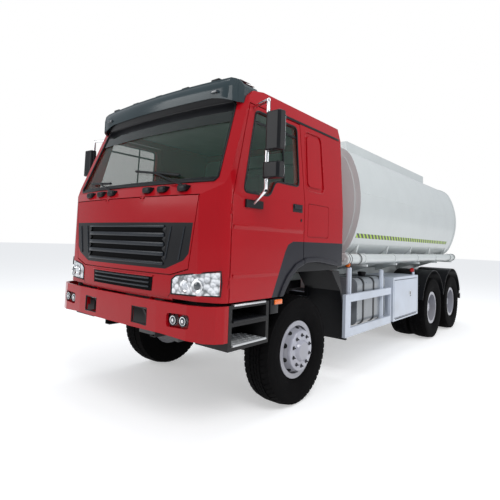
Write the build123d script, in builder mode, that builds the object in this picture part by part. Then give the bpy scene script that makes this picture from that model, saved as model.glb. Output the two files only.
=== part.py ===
"""A three-axle tanker truck with a forward-control cab, in millimetres.

X is the truck's left, Y its rear and Z up. The origin is on the ground, midway
between its foremost and rearmost faces. Distances that start at the nose are
written as nose + distance.
"""
import math
import os

from build123d import *

os.makedirs("parts", exist_ok=True)

# Whole truck
length = 8300.0
half_width = 1245.0
front_overhang = 1500.0
wheelbase = 4600.0
bogie_spacing = 1350.0
fit_gap = 0.3
panel_gap = 10.0

nose = -length / 2
tail = nose + length
front_axle_y = nose + front_overhang
rear_axle_y = [front_axle_y + wheelbase, front_axle_y + wheelbase + bogie_spacing]
bogie_y = sum(rear_axle_y) / 2

# Tyres and rims, as 12.00R20 on an 8.5 inch rim
tyre_radius = 562.5
tyre_half_width = 157.0
rim_half_width = 108.0
rim_radius = 254.0
flange_radius = 297.0
flange_thickness = 10.0
rim_wall = 9.0
front_wheel_x = 1020.0
dual_centre_x = 910.0
dual_half_spacing = 175.0
hub_z = tyre_radius

# Frame rails
rail_x = 425.0
rail_top = 1060.0
rail_height = 300.0
rail_flange = 80.0
rail_plate = 8.0
rail_front = nose + 190
rail_rear = tail - 125
rail_bottom = rail_top - rail_height

# Cab form
cab_front = nose + 50
cab_back = nose + 2285
cab_bottom = 1165.0
cab_belt = 2100.0
cab_gutter = 2965.0
cab_top = 3180.0
gutter_half_width = 1190.0
cab_wall = 60.0
skin = 22.0
skin_recess = 30.0
front_plan_radius = 8360.0
corner_radius = 120.0
lid_top = 2060.0
screen_base = nose + 130
screen_base_z = 2170.0
screen_top = nose + 413
screen_top_z = 2930.0
floor_top = 1450.0
floor_underside = 1400.0
tunnel_half_width = 420.0
tunnel_top = 1730.0
tunnel_wall = 45.0

# Cab tilt pivot
pivot_y = nose + 60
pivot_z = 1060.0
pivot_pin_radius = 15.0
pivot_clearance = 0.1
pivot_boss_radius = 25.0

# Small hinges at the doors and lids
hinge_pin_radius = 3.5
hinge_eye_radius = 5.5
hinge_leaf = 30.0

# Front wheel arch in the cab
arch_floor_z = 1434.0

# Tank
tank_front = cab_back + 515
tank_rear = tail - 470
tank_half_width = 1220.0
tank_half_height = 870.0
tank_centre_z = 2285.0
tank_side_radius = 1300.0
tank_corner_radius = 330.0
tank_top_radius = 3200.0
tank_rim = 26.0
tank_head_depth = 70.0

written = []


def write(builder, name):
    """Labels a finished piece and writes it as one STEP file."""
    builder.part.label = name
    export_step(builder.part, f"parts/{name}.step")
    written.append(name)


def polygon(points, radius=0):
    """A closed outline in the sketch that is being drawn, with rounded corners."""
    face = Polygon(*points, align=None)
    if radius:
        fillet(face.vertices(), radius)


def side_prism(points, x_from, x_to, radius=0):
    """An outline of (y, z) points, run across the truck from x_from to x_to."""
    with BuildPart() as prism:
        with BuildSketch(Plane.YZ.offset(x_from)):
            polygon(points, radius)
        extrude(amount=x_to - x_from)
    return prism.part


def front_prism(points, y_from, y_to, radius=0):
    """An outline of (x, z) points, run along the truck from y_from to y_to."""
    with BuildPart() as prism:
        with BuildSketch(Plane.XZ.offset(-y_to)):
            polygon(points, radius)
        extrude(amount=y_to - y_from)
    return prism.part


def plan_prism(points, z_from, z_to, radius=0):
    """An outline of (x, y) points, run upwards from z_from to z_to."""
    with BuildPart() as prism:
        with BuildSketch(Plane.XY.offset(z_from)):
            polygon(points, radius)
        extrude(amount=z_to - z_from)
    return prism.part


def block(x_range, y_range, z_range):
    """A plain box between three pairs of limits."""
    corners = [(x_range[0], y_range[0]), (x_range[1], y_range[0]), (x_range[1], y_range[1]), (x_range[0], y_range[1])]
    return plan_prism(corners, z_range[0], z_range[1])


def rod(start, end, radius):
    """A round bar between two points."""
    line = Vector(*end) - Vector(*start)
    with BuildPart() as bar:
        with BuildSketch(Plane(origin=start, z_dir=line.normalized())):
            Circle(radius)
        extrude(amount=line.length)
    return bar.part


def turned(points, centre_y, centre_z):
    """A profile of (x, radius) points, turned about a line along X."""
    with BuildPart() as ring:
        with BuildSketch(Plane(origin=(0, centre_y, centre_z), x_dir=(1, 0, 0), z_dir=(0, -1, 0))):
            polygon(points)
        revolve(axis=Axis((0, centre_y, centre_z), (1, 0, 0)))
    return ring.part


def upright_hinge(x, y, z_middles, leaf, fixed_leaf):
    """The fixed ears with their pins, the moving lugs and the lugs' free space.

    The moving part lies on the +Y side, and both leaves reach in by leaf from x.
    """
    with BuildPart() as ears:
        for z in z_middles:
            for z_from in (z - 46, z + 16):
                add(block((x - leaf, x), (y - fixed_leaf, y), (z_from, z_from + hinge_leaf)))
                add(rod((x, y, z_from), (x, y, z_from + hinge_leaf), hinge_eye_radius))
            add(rod((x, y, z - 46), (x, y, z + 46), hinge_pin_radius))
    with BuildPart() as lugs:
        for z in z_middles:
            add(block((x - leaf, x), (y, y + 15), (z - 14, z + 14)))
            add(rod((x, y, z - 14), (x, y, z + 14), hinge_eye_radius))
            add(rod((x, y, z - 20), (x, y, z + 20), hinge_pin_radius + pivot_clearance), mode=Mode.SUBTRACT)
    with BuildPart() as space:
        for z in z_middles:
            add(block((x - leaf - 2, x + 10), (y - 8, y + 4), (z - 15.5, z + 15.5)))
    return ears.part, lugs.part, space.part


def mirrored(part):
    """The same piece on the other side of the truck."""
    return mirror(part, about=Plane.YZ)


# The cab's form: the side view turned about a distant upright line, then cut to
# its front view, its plan and the slope of its windscreen pillars.

def cab_form(inset, underside=cab_bottom):
    """The cab's solid form, drawn in by inset all round, down to underside."""
    turn_axis = Axis((0, cab_front + front_plan_radius, 0), (0, 0, 1))
    behind = cab_back + 400
    side_view = [
        (cab_front + 10, underside - 200), (cab_front, lid_top), (screen_base, screen_base_z),
        (screen_top, screen_top_z), (screen_top + 33, screen_top_z + 88), (screen_top + 107, screen_top_z + 155),
        (screen_top + 387, screen_top_z + 215),
        (behind, cab_top), (behind, underside - 200),
    ]
    front_view = [
        (-half_width, underside - 400), (half_width, underside - 400), (half_width, cab_belt),
        (gutter_half_width, cab_gutter), (gutter_half_width - 40, cab_top - 60), (gutter_half_width - 200, cab_top),
        (200 - gutter_half_width, cab_top), (40 - gutter_half_width, cab_top - 60), (-gutter_half_width, cab_gutter),
        (-half_width, cab_belt),
    ]
    plan_outline = [
        (-half_width, cab_back), (-half_width, nose + 225), (-700, nose - 39), (700, nose - 39),
        (half_width, nose + 225), (half_width, cab_back),
    ]
    slope = Vector(0, screen_top - screen_base, screen_top_z - screen_base_z).normalized()
    with BuildPart() as form:
        with BuildSketch(Plane.YZ):
            polygon(side_view)
            if inset:
                offset(amount=-inset, kind=Kind.INTERSECTION)
        revolve(axis=turn_axis, revolution_arc=14)
        mirror(about=Plane.YZ)
        with BuildSketch(Plane.XZ.offset(-behind)):
            polygon(front_view)
            if inset:
                offset(amount=-inset, kind=Kind.INTERSECTION)
        extrude(amount=behind - nose + 100, mode=Mode.INTERSECT)
        with BuildSketch(Plane.XY.offset(underside + inset)) as plan:
            polygon(plan_outline)
            if inset:
                offset(amount=-inset, kind=Kind.INTERSECTION)
            fillet(plan.vertices().group_by(Axis.Y)[1], corner_radius - inset)
        extrude(amount=cab_top - underside, mode=Mode.INTERSECT)
        with BuildSketch(Plane(origin=(0, screen_base, screen_base_z), x_dir=(1, 0, 0), z_dir=slope)) as pillars:
            with Locations((0, 1500)):
                Rectangle(2 * (half_width + 5 - inset), 3000 - 2 * (inset - 62))
            fillet(pillars.vertices().group_by(Axis.Y)[0], 125 - inset / 2)
        extrude(amount=2600, both=True, mode=Mode.INTERSECT)
    return form.part


cab_outer = cab_form(0)
cab_skin_inner = cab_form(skin, cab_bottom - 100)
cab_panel_seat = cab_form(skin + fit_gap, cab_bottom - 100)
cab_recess = cab_form(skin_recess, cab_bottom - 100)
cab_lining = cab_form(cab_wall, cab_bottom - 160)
cab_inside = cab_form(cab_wall + fit_gap)
glass_outer = cab_form(12)
glass_inner = cab_form(18)

# Outlines on the cab's side, in (y, z)
paint_line = 1700.0
door_front_y = nose + 292
door_rear_y = nose + 1412
door_rear_top_y = nose + 1352
door_top = 2938.0
far_out = half_width + 60
door_inner_x = half_width - 140
arch_edge = [
    (nose + 1050, cab_bottom), (nose + 1100, 1235), (nose + 1180, 1330), (nose + 1300, 1425),
    (nose + 1474, 1483), (nose + 1700, 1487), (nose + 1900, 1466), (nose + 2140, arch_floor_z),
]
flare_edge = [
    (nose + 988, cab_bottom), (nose + 1040, 1252), (nose + 1130, 1368), (nose + 1272, 1474),
    (nose + 1468, 1536), (nose + 1700, 1543), (nose + 1912, 1522), (nose + 2165, arch_floor_z + 54),
]
flare_x = (half_width - 40, half_width + 20)
paint_edge = [(nose + 880, cab_bottom), (nose + 1085, 1600), (nose + 1130, 1665), (nose + 1220, paint_line)]
door_outline = [
    (door_front_y, cab_bottom), *paint_edge, (door_rear_y, paint_line), (door_rear_y, cab_belt),
    (door_rear_top_y, door_top), (door_front_y + 240, door_top), (door_front_y, cab_belt - 25),
]
door_trim_outline = [
    paint_edge[0], *arch_edge[:4], (door_rear_y, 1462), (door_rear_y, paint_line), *reversed(paint_edge[1:]),
]
rear_trim_outline = [
    (door_rear_y + panel_gap, 1465), *arch_edge[4:], (cab_back, arch_floor_z),
    (cab_back, paint_line), (door_rear_y + panel_gap, paint_line),
]
window_outline = [
    (nose + 425, 2115), (nose + 800, 2115), (nose + 900, 2270), (nose + 1310, 2270),
    (nose + 1295, 2895), (nose + 612, 2895),
]
door_gap_outline = [
    (door_front_y - panel_gap, cab_bottom - 60), (door_rear_y + panel_gap, cab_bottom - 60),
    (door_rear_y + panel_gap, cab_belt), (door_rear_top_y + panel_gap, door_top + panel_gap),
    (door_front_y + 233, door_top + panel_gap), (door_front_y - panel_gap, cab_belt - 25),
]

# Outlines on the cab's front, in (x, z)
lid_half_width = 1010.0
lid_foot = 1372.0
lid_outline = [
    (-920, lid_foot + 60), (-720, lid_foot), (720, lid_foot), (920, lid_foot + 60),
    (lid_half_width, lid_top), (-lid_half_width, lid_top),
]
lid_gap_outline = [
    (-928, lid_foot + 50), (-724, lid_foot - 10), (724, lid_foot - 10), (928, lid_foot + 50),
    (lid_half_width + 10, lid_top + 10), (-lid_half_width - 10, lid_top + 10),
]
grille_outline = [
    (-655, 1415), (655, 1415), (870, 1500), (925, 1560), (962, 1825), (-962, 1825), (-925, 1560), (-870, 1500),
]
screen_outline = [(-1125, 2192), (1125, 2192), (1050, 2980), (-1050, 2980)]
lamp_outline = [(742, 1205), (1300, 1222), (1300, 1428), (792, 1366), (742, 1330)]
front_end = nose + 262

# Grooves pressed into the cab's side: outer and inner outlines in (y, z), and the corner radius
pressings = [
    ([(nose + 1458, 2262), (nose + 1835, 2262), (nose + 1800, 2895), (nose + 1458, 2895)],
     [(nose + 1494, 2298), (nose + 1794, 2298), (nose + 1768, 2859), (nose + 1494, 2859)], 60),
    ([(nose + 1485, 1752), (nose + 1935, 1752), (nose + 1935, 2112), (nose + 1485, 2112)],
     [(nose + 1492, 1759), (nose + 1928, 1759), (nose + 1928, 2105), (nose + 1492, 2105)], 25),
]

# Cab: the walls, floor and engine tunnel, less the doors, lid and panels

with BuildPart() as cab_walls:
    add(cab_outer)
    add(cab_lining, mode=Mode.SUBTRACT)

with BuildPart() as cab_skin:
    add(cab_outer)
    add(cab_skin_inner, mode=Mode.SUBTRACT)

window_prism = side_prism(window_outline, door_inner_x, far_out, 50)
screen_prism = front_prism(screen_outline, nose - 50, nose + 620, 45)
door_hinge_x = half_width + 1
door_hinge_y = door_front_y - 8
door_ears, door_lugs, door_lug_space = upright_hinge(door_hinge_x, door_hinge_y, (1330, 1950), 22, 15)
lid_hinge_y = nose + 58
lid_hinge_z = lid_top + 3
lid_hinge_x = 300.0
tilt_arm_x = [431.0, 471.0]
tilt_arm = [(pivot_y + y, pivot_z + z) for y, z in (
    (-22, 0), (-6, 30), (16, 50), (34, 66), (46, 80), (40, 100), (40, 145), (60, 145), (60, 100), (74, 84), (62, 56), (24, 0),
)]

with BuildPart() as cab_shell:
    add(cab_walls.part)
    with BuildPart(mode=Mode.PRIVATE) as floor_pan:
        add(cab_outer)
        add(block((-1300, 1300), (nose - 50, cab_back + 50), (floor_underside, floor_top)), mode=Mode.INTERSECT)
    add(floor_pan.part)
    with BuildPart(mode=Mode.PRIVATE) as tunnel:
        add(cab_outer)
        tunnel_x = (-tunnel_half_width, tunnel_half_width)
        add(block(tunnel_x, (nose - 50, cab_back + 50), (floor_underside, tunnel_top)), mode=Mode.INTERSECT)
    add(tunnel.part)
    hollow_x = (tunnel_wall - tunnel_half_width, tunnel_half_width - tunnel_wall)
    hollow = block(hollow_x, (nose + 135, cab_back + 50), (floor_underside - 10, tunnel_top - tunnel_wall))
    add(hollow, mode=Mode.SUBTRACT)
    door_hole = side_prism(door_gap_outline, door_inner_x, far_out)
    add(door_hole, mode=Mode.SUBTRACT)
    add(mirrored(door_hole), mode=Mode.SUBTRACT)
    trim_hole = side_prism(rear_trim_outline, half_width - cab_wall, far_out)
    add(trim_hole, mode=Mode.SUBTRACT)
    add(mirrored(trim_hole), mode=Mode.SUBTRACT)
    arch_hole = side_prism(arch_edge + [(cab_back + 60, arch_floor_z), (cab_back + 60, cab_bottom - 60),
                                        (nose + 1050, cab_bottom - 60)], half_width - cab_wall, far_out)
    add(arch_hole, mode=Mode.SUBTRACT)
    add(mirrored(arch_hole), mode=Mode.SUBTRACT)
    with BuildPart(mode=Mode.PRIVATE) as lid_recess:
        add(cab_outer)
        add(cab_recess, mode=Mode.SUBTRACT)
        add(front_prism(lid_gap_outline, nose - 50, nose + 300), mode=Mode.INTERSECT)
    add(lid_recess.part, mode=Mode.SUBTRACT)
    with BuildPart(mode=Mode.PRIVATE) as panel_recess:
        add(cab_outer)
        add(cab_panel_seat, mode=Mode.SUBTRACT)
        add(block((-1300, 1300), (nose - 50, front_end), (cab_bottom - 10, lid_top)), mode=Mode.INTERSECT)
    add(panel_recess.part, mode=Mode.SUBTRACT)
    add(screen_prism, mode=Mode.SUBTRACT)
    for outer, inner, radius in pressings:
        with BuildPart(mode=Mode.PRIVATE) as groove:
            add(side_prism(outer, door_inner_x, far_out, radius))
            add(side_prism(inner, door_inner_x, far_out, radius), mode=Mode.SUBTRACT)
            add(glass_outer, mode=Mode.SUBTRACT)
        add(groove.part, mode=Mode.SUBTRACT)
        add(mirrored(groove.part), mode=Mode.SUBTRACT)
    rear_wall = block((-1185, 1185), (cab_back - 62, cab_back + 5), (cab_bottom - 60, floor_underside))
    add(rear_wall, mode=Mode.SUBTRACT)
    arm = side_prism(tilt_arm, tilt_arm_x[0], tilt_arm_x[1])
    eye = rod((tilt_arm_x[0], pivot_y, pivot_z), (tilt_arm_x[1], pivot_y, pivot_z), 24)
    hole = rod((tilt_arm_x[0] - 5, pivot_y, pivot_z), (tilt_arm_x[1] + 5, pivot_y, pivot_z),
               pivot_pin_radius + pivot_clearance)
    for piece in (arm, eye):
        add(piece)
        add(mirrored(piece))
    add(hole, mode=Mode.SUBTRACT)
    add(mirrored(hole), mode=Mode.SUBTRACT)
    add(door_lug_space, mode=Mode.SUBTRACT)
    add(mirrored(door_lug_space), mode=Mode.SUBTRACT)
    add(door_ears)
    add(mirrored(door_ears))
    for hinge_x in (-lid_hinge_x, lid_hinge_x):
        for ear_x in (hinge_x - 30, hinge_x + 20):
            add(block((ear_x, ear_x + 10), (lid_hinge_y - 5, lid_hinge_y + 14), (lid_hinge_z - 5, lid_top + 14)))
        add(rod((hinge_x - 30, lid_hinge_y, lid_hinge_z), (hinge_x + 30, lid_hinge_y, lid_hinge_z), hinge_pin_radius))
write(cab_shell, "cab_shell")

with BuildPart() as front_panels:
    add(cab_skin.part)
    add(block((-1300, 1300), (nose - 50, front_end), (cab_bottom, lid_top)), mode=Mode.INTERSECT)
    add(front_prism(lid_gap_outline, nose - 50, nose + 300), mode=Mode.SUBTRACT)
    lamp_prism = front_prism(lamp_outline, nose - 50, nose + 212)
    add(lamp_prism, mode=Mode.SUBTRACT)
    add(mirrored(lamp_prism), mode=Mode.SUBTRACT)
write(front_panels, "front_panels")

with BuildPart() as headlamps:
    with BuildPart(mode=Mode.PRIVATE) as lamp_left:
        add(cab_skin.part)
        add(lamp_prism, mode=Mode.INTERSECT)
    add(lamp_left.part)
    add(mirrored(lamp_left.part))
write(headlamps, "headlamps")

with BuildPart() as windscreen:
    add(glass_outer)
    add(glass_inner, mode=Mode.SUBTRACT)
    add(screen_prism, mode=Mode.INTERSECT)
write(windscreen, "windscreen")

with BuildPart() as arch_flare:
    add(side_prism(arch_edge + flare_edge[::-1], *flare_x))
    fillet(arch_flare.faces().sort_by(Axis.X)[-1].edges(), 12)

with BuildPart() as rear_arch_trims:
    with BuildPart(mode=Mode.PRIVATE) as rear_flare:
        add(arch_flare.part)
        add(block((door_inner_x, far_out), (door_rear_y + panel_gap, cab_back), (1400, 1600)), mode=Mode.INTERSECT)
    with BuildPart(mode=Mode.PRIVATE) as trim_left:
        add(cab_walls.part)
        add(trim_hole, mode=Mode.INTERSECT)
        add(rear_flare.part)
    add(trim_left.part)
    add(mirrored(trim_left.part))
write(rear_arch_trims, "rear_arch_trims")

# Front lid and its grille
with BuildPart() as front_lid:
    add(cab_skin.part)
    add(front_prism(lid_outline, nose - 50, nose + 300), mode=Mode.INTERSECT)
    add(front_prism(grille_outline, nose - 50, nose + 300), mode=Mode.SUBTRACT)
    for hinge_x in (-lid_hinge_x, lid_hinge_x):
        add(block((hinge_x - 36, hinge_x + 36), (nose, nose + 120), (lid_top - 15, lid_top + 5)), mode=Mode.SUBTRACT)
        add(block((hinge_x - 15, hinge_x + 15), (lid_hinge_y - 4, lid_hinge_y + 5), (lid_top - 40, lid_hinge_z)))
        lug = rod((hinge_x - 15, lid_hinge_y, lid_hinge_z), (hinge_x + 15, lid_hinge_y, lid_hinge_z), hinge_eye_radius)
        add(lug)
        pin_space = rod((hinge_x - 20, lid_hinge_y, lid_hinge_z), (hinge_x + 20, lid_hinge_y, lid_hinge_z),
                        hinge_pin_radius + pivot_clearance)
        add(pin_space, mode=Mode.SUBTRACT)
write(front_lid, "front_lid")

slot_rows = [1475, 1560, 1645, 1730]
with BuildPart() as grille:
    add(cab_skin.part)
    add(front_prism(grille_outline, nose - 50, nose + 300), mode=Mode.INTERSECT)
    for row in slot_rows:
        slot = [(-640, row), (640, row), (620, row + 55), (-620, row + 55)]
        add(front_prism(slot, nose - 50, nose + 300), mode=Mode.SUBTRACT)
write(grille, "grille")

# Doors
with BuildPart() as door_left:
    add(cab_walls.part)
    add(side_prism(door_outline, door_inner_x, far_out), mode=Mode.INTERSECT)
    add(window_prism, mode=Mode.SUBTRACT)
    add(door_lugs)
write(door_left, "door_left")

with BuildPart() as door_trim_left:
    add(cab_walls.part)
    add(side_prism(door_trim_outline, door_inner_x, far_out), mode=Mode.INTERSECT)
    with BuildPart(mode=Mode.PRIVATE) as door_flare:
        add(arch_flare.part)
        add(block((door_inner_x, far_out), (nose + 900, door_rear_y), (cab_bottom, 1600)), mode=Mode.INTERSECT)
    add(door_flare.part)
write(door_trim_left, "door_trim_left")

with BuildPart() as door_glass_left:
    add(glass_outer)
    add(glass_inner, mode=Mode.SUBTRACT)
    add(window_prism, mode=Mode.INTERSECT)
write(door_glass_left, "door_glass_left")

mirror_post_x = 1425.0
mirror_y = nose + 500
with BuildPart() as mirror_left:
    with BuildPart(mode=Mode.PRIVATE) as arms:
        add(rod((mirror_post_x, mirror_y, 2110), (mirror_post_x, mirror_y, 2930), 13))
        add(rod((1150, mirror_y + 95, 2916), (mirror_post_x, mirror_y, 2916), 13))
        add(rod((1235, mirror_y + 60, 2014), (mirror_post_x, mirror_y, 2125), 13))
        add(door_left.part, mode=Mode.SUBTRACT)
        add(cab_outer, mode=Mode.SUBTRACT)
    add(arms.part)
    for housing_x, housing_z in (((1425, 1598), (2462, 2800)), ((1405, 1598), (2222, 2362))):
        corners = [(housing_x[0], mirror_y - 40), (housing_x[1] - 20, mirror_y - 48), (housing_x[1], mirror_y + 40),
                   (housing_x[0], mirror_y + 40)]
        with BuildPart(mode=Mode.PRIVATE) as housing:
            add(plan_prism(corners, *housing_z, 26))
            fillet(housing.faces().filter_by(Axis.Z).edges(), 12)
        add(housing.part)
    add(block((1235, 1262), (nose + 446, nose + 686), (1980, 2050)))
    add(cab_outer, mode=Mode.SUBTRACT)
write(mirror_left, "mirror_left")

for source, name in [(door_left, "door_right"), (door_trim_left, "door_trim_right"),
                     (door_glass_left, "door_glass_right"), (mirror_left, "mirror_right")]:
    with BuildPart() as other:
        add(mirrored(source.part))
    write(other, name)

# Sun visor
visor_half_width = 1140.0
visor_wall = 18.0


def visor_form(inset):
    """The visor's solid form, bowed like the cab's front and drawn in by inset."""
    side_view = [
        (nose + 352, 2700), (nose + 346, 3100), (nose + 374, 3190), (nose + 560, 3192), (nose + 720, 3165),
        (nose + 720, 2700),
    ]
    plan_outline = [
        (-visor_half_width, nose + 900), (-visor_half_width, nose + 500), (-1050, nose + 401), (0, nose + 250),
        (1050, nose + 401), (visor_half_width, nose + 500), (visor_half_width, nose + 900),
    ]
    front_view = [
        (-visor_half_width, 2945), (-1090, 2952), (-870, 3020), (870, 3020), (1090, 2952), (visor_half_width, 2945),
        (visor_half_width, 3100), (1105, 3160), (1020, 3192), (-1020, 3192), (-1105, 3160), (-visor_half_width, 3100),
    ]
    with BuildPart() as form:
        with BuildSketch(Plane.YZ):
            polygon(side_view)
            if inset:
                offset(amount=-inset, kind=Kind.INTERSECTION)
        revolve(axis=Axis((0, cab_front + front_plan_radius, 0), (0, 0, 1)), revolution_arc=14)
        mirror(about=Plane.YZ)
        with BuildSketch(Plane.XY.offset(2600)):
            polygon(plan_outline)
            if inset:
                offset(amount=-inset, kind=Kind.INTERSECTION)
        extrude(amount=900, mode=Mode.INTERSECT)
        if not inset:
            add(front_prism(front_view, nose, nose + 1000), mode=Mode.INTERSECT)
    return form.part


visor_fin = [(nose + 362, 3030), (nose + 360, 3100), (nose + 384, 3178), (nose + 700, 3150), (nose + 700, 3040)]
with BuildPart() as sun_visor:
    add(visor_form(0))
    add(visor_form(visor_wall), mode=Mode.SUBTRACT)
    add(block((-1200, 1200), (nose + 700, nose + 1000), (2900, 3200)), mode=Mode.SUBTRACT)
    for fin_x in (-700, -8, 684):
        with BuildPart(mode=Mode.PRIVATE) as fin:
            add(visor_form(4))
            add(side_prism(visor_fin, fin_x, fin_x + 16), mode=Mode.INTERSECT)
        add(fin.part)
    add(cab_outer, mode=Mode.SUBTRACT)
write(sun_visor, "sun_visor")

# Cab interior
steering_x = 520.0
with BuildPart() as dashboard:
    add(block((-1090, 1090), (nose + 50, nose + 480), (1860, 2120)))
    add(cab_inside, mode=Mode.INTERSECT)
    add(rod((steering_x, nose + 400, 1950), (steering_x, nose + 620, 2080), 30))
    with Locations(Location((steering_x, nose + 620, 2080), (-60, 0, 0))):
        Torus(220, 16)
        Box(420, 40, 14)
write(dashboard, "dashboard")

seat_cushion = [(850, 1740), (850, 1870), (1330, 1850), (1330, 1740)]
seat_back = [(1290, 1840), (1400, 1840), (1500, 2500), (1400, 2500)]
with BuildPart() as seats:
    for seat_x in (-steering_x, steering_x):
        add(side_prism([(nose + y, z) for y, z in seat_cushion], seat_x - 250, seat_x + 250))
        add(side_prism([(nose + y, z) for y, z in seat_back], seat_x - 240, seat_x + 240))
        add(block((seat_x + (-95 if seat_x > 0 else -180), seat_x + (180 if seat_x > 0 else 95)),
                  (nose + 950, nose + 1280), (floor_top, 1740)))
    add(block((-1120, 1120), (nose + 1660, cab_back - 62), (tunnel_top, 1900)))
    for box_x in (-1120, 430):
        add(block((box_x, box_x + 690), (nose + 1660, cab_back - 62), (floor_top, tunnel_top)))
write(seats, "seats")

# Chassis frame
rail = [
    (rail_x, rail_bottom), (rail_x, rail_top), (rail_x - rail_flange, rail_top),
    (rail_x - rail_flange, rail_top - rail_plate), (rail_x - rail_plate, rail_top - rail_plate),
    (rail_x - rail_plate, rail_bottom + rail_plate), (rail_x - rail_flange, rail_bottom + rail_plate),
    (rail_x - rail_flange, rail_bottom),
]
rear_member_y = [rail_rear - 12, rail_rear]
member_y = [(nose + 230, nose + 300), (nose + 2860, nose + 2940), (nose + 3940, nose + 4020), (nose + 5000, nose + 5080),
            (bogie_y - 60, bogie_y + 60)]
tilt_bracket = [
    (pivot_y - 22, pivot_z), (pivot_y, pivot_z + 24), (pivot_y + 30, pivot_z + 10), (rail_front + 60, 1040),
    (rail_front + 60, 800), (rail_front, 800), (pivot_y - 10, pivot_z - 24),
]
rail_inner = rail_x - rail_plate
coupling_holes = [(-80, 910 - 50), (80, 910 - 50), (-80, 910 + 50), (80, 910 + 50)]
with BuildPart() as chassis_frame:
    with BuildPart(mode=Mode.PRIVATE) as left_side:
        add(front_prism(rail, rail_front, rail_rear))
        add(side_prism(tilt_bracket, 395, rail_x))
        add(rod((395, pivot_y, pivot_z), (tilt_arm_x[1] + 6, pivot_y, pivot_z), pivot_pin_radius))
        add(block((rail_x, 520), (nose + 2170, nose + 2250), (900, floor_underside - 6)))
        add(block((rail_x - 60, rail_x), (bogie_y - 110, bogie_y + 110), (480, rail_bottom)))
        add(rod((rail_x - 60, bogie_y, 540), (560, bogie_y, 540), 45))
    add(left_side.part)
    add(mirrored(left_side.part))
    for y_from, y_to in member_y:
        add(block((-rail_inner, rail_inner), (y_from, y_to), (840, 990)))
    add(block((-rail_inner, rail_inner), rear_member_y, (rail_bottom + rail_plate, rail_top - rail_plate)))
    with BuildSketch(Plane.XZ.offset(-rail_rear - 5)):
        with Locations(*coupling_holes):
            Circle(10.5)
    extrude(amount=30, mode=Mode.SUBTRACT)
write(chassis_frame, "chassis_frame")

# Front bumper
bumper_outer = [(0, 0), (300, 0), (650, 12), (1000, 45), (1150, 100), (1215, 170), (half_width, 240), (half_width, 290)]
bumper_inner = [(half_width - 25, 290), (half_width - 25, 245), (1193, 182), (1136, 122), (990, 70), (645, 38),
                (300, 26), (0, 26)]
bumper_plan = [(x, nose + y) for x, y in bumper_outer + bumper_inner]
lamp_recess = [(772, 938), (1024, 945), (1024, 1062), (772, 1055)]
with BuildPart() as front_bumper:
    with BuildPart(mode=Mode.PRIVATE) as bumper_half:
        add(plan_prism(bumper_plan, 820, 1140))
        under = [(-10, 700), (1300, 700), (1300, 838), (1245, 840), (700, 872), (-10, 872)]
        add(front_prism(under, nose - 10, nose + 400), mode=Mode.SUBTRACT)
        add(block((300, 520), (nose - 10, nose + 60), (910, 1060)), mode=Mode.SUBTRACT)
        add(front_prism(lamp_recess, nose - 10, nose + 120, 30), mode=Mode.SUBTRACT)
        add(block((765, 1032), (nose + 80, nose + 200), (925, 1075)))
        add(block((rail_x, rail_x + 90), (nose + 28, nose + 400), (876, 906)))
        arm_pocket = (tilt_arm_x[0] - 8, tilt_arm_x[1] + 8)
        add(block(arm_pocket, (nose + 19, nose + 80), (pivot_z - 30, 1150)), mode=Mode.SUBTRACT)
    add(bumper_half.part)
    add(mirrored(bumper_half.part))
write(front_bumper, "front_bumper")

# Fog lamps, side markers and rear lamps
with BuildPart() as chassis_lamps:
    with BuildPart(mode=Mode.PRIVATE) as left_lamps:
        for lamp_x, lamp_z in ((838, 998), (960, 1004)):
            add(rod((lamp_x, nose + 45, lamp_z), (lamp_x, nose + 80, lamp_z), 46))
        add(block((930, 1210), (tail - 150, tail - 70), (690, 790)))
    add(left_lamps.part)
    add(mirrored(left_lamps.part))
write(chassis_lamps, "chassis_lamps")

# Entry steps
with BuildPart() as entry_steps:
    with BuildPart(mode=Mode.PRIVATE) as left_steps:
        add(block((850, 1240), (nose + 300, nose + 850), (760, 1140)))
        add(block((880, 1300), (nose + 340, nose + 810), (800, 960)), mode=Mode.SUBTRACT)
        add(block((880, 1300), (nose + 340, nose + 810), (1000, 1110)), mode=Mode.SUBTRACT)
        add(block((rail_x, 850), (nose + 480, nose + 560), (900, 1000)))
        add(block((rail_x, 850), (nose + 700, nose + 780), (900, 1000)))
    add(left_steps.part)
    add(mirrored(left_steps.part))
write(entry_steps, "entry_steps")

# Engine and gearbox
with BuildPart() as engine:
    add(block((-330, 330), (nose + 560, nose + 1900), (640, 1450)))
    add(block((-220, 220), (nose + 1900, nose + 2700), (660, 1060)))
    add(block((-330, 330), (nose + 360, nose + 460), (780, 1600)))
    add(block((-120, 120), (nose + 460, nose + 560), (860, 1300)))
    for side in (-1, 1):
        foot_x = (330, rail_inner) if side > 0 else (-rail_inner, -330)
        for foot_y in (390, 1300):
            add(block(foot_x, (nose + foot_y, nose + foot_y + 60), (860, 960)))
write(engine, "engine_and_gearbox")

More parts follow.
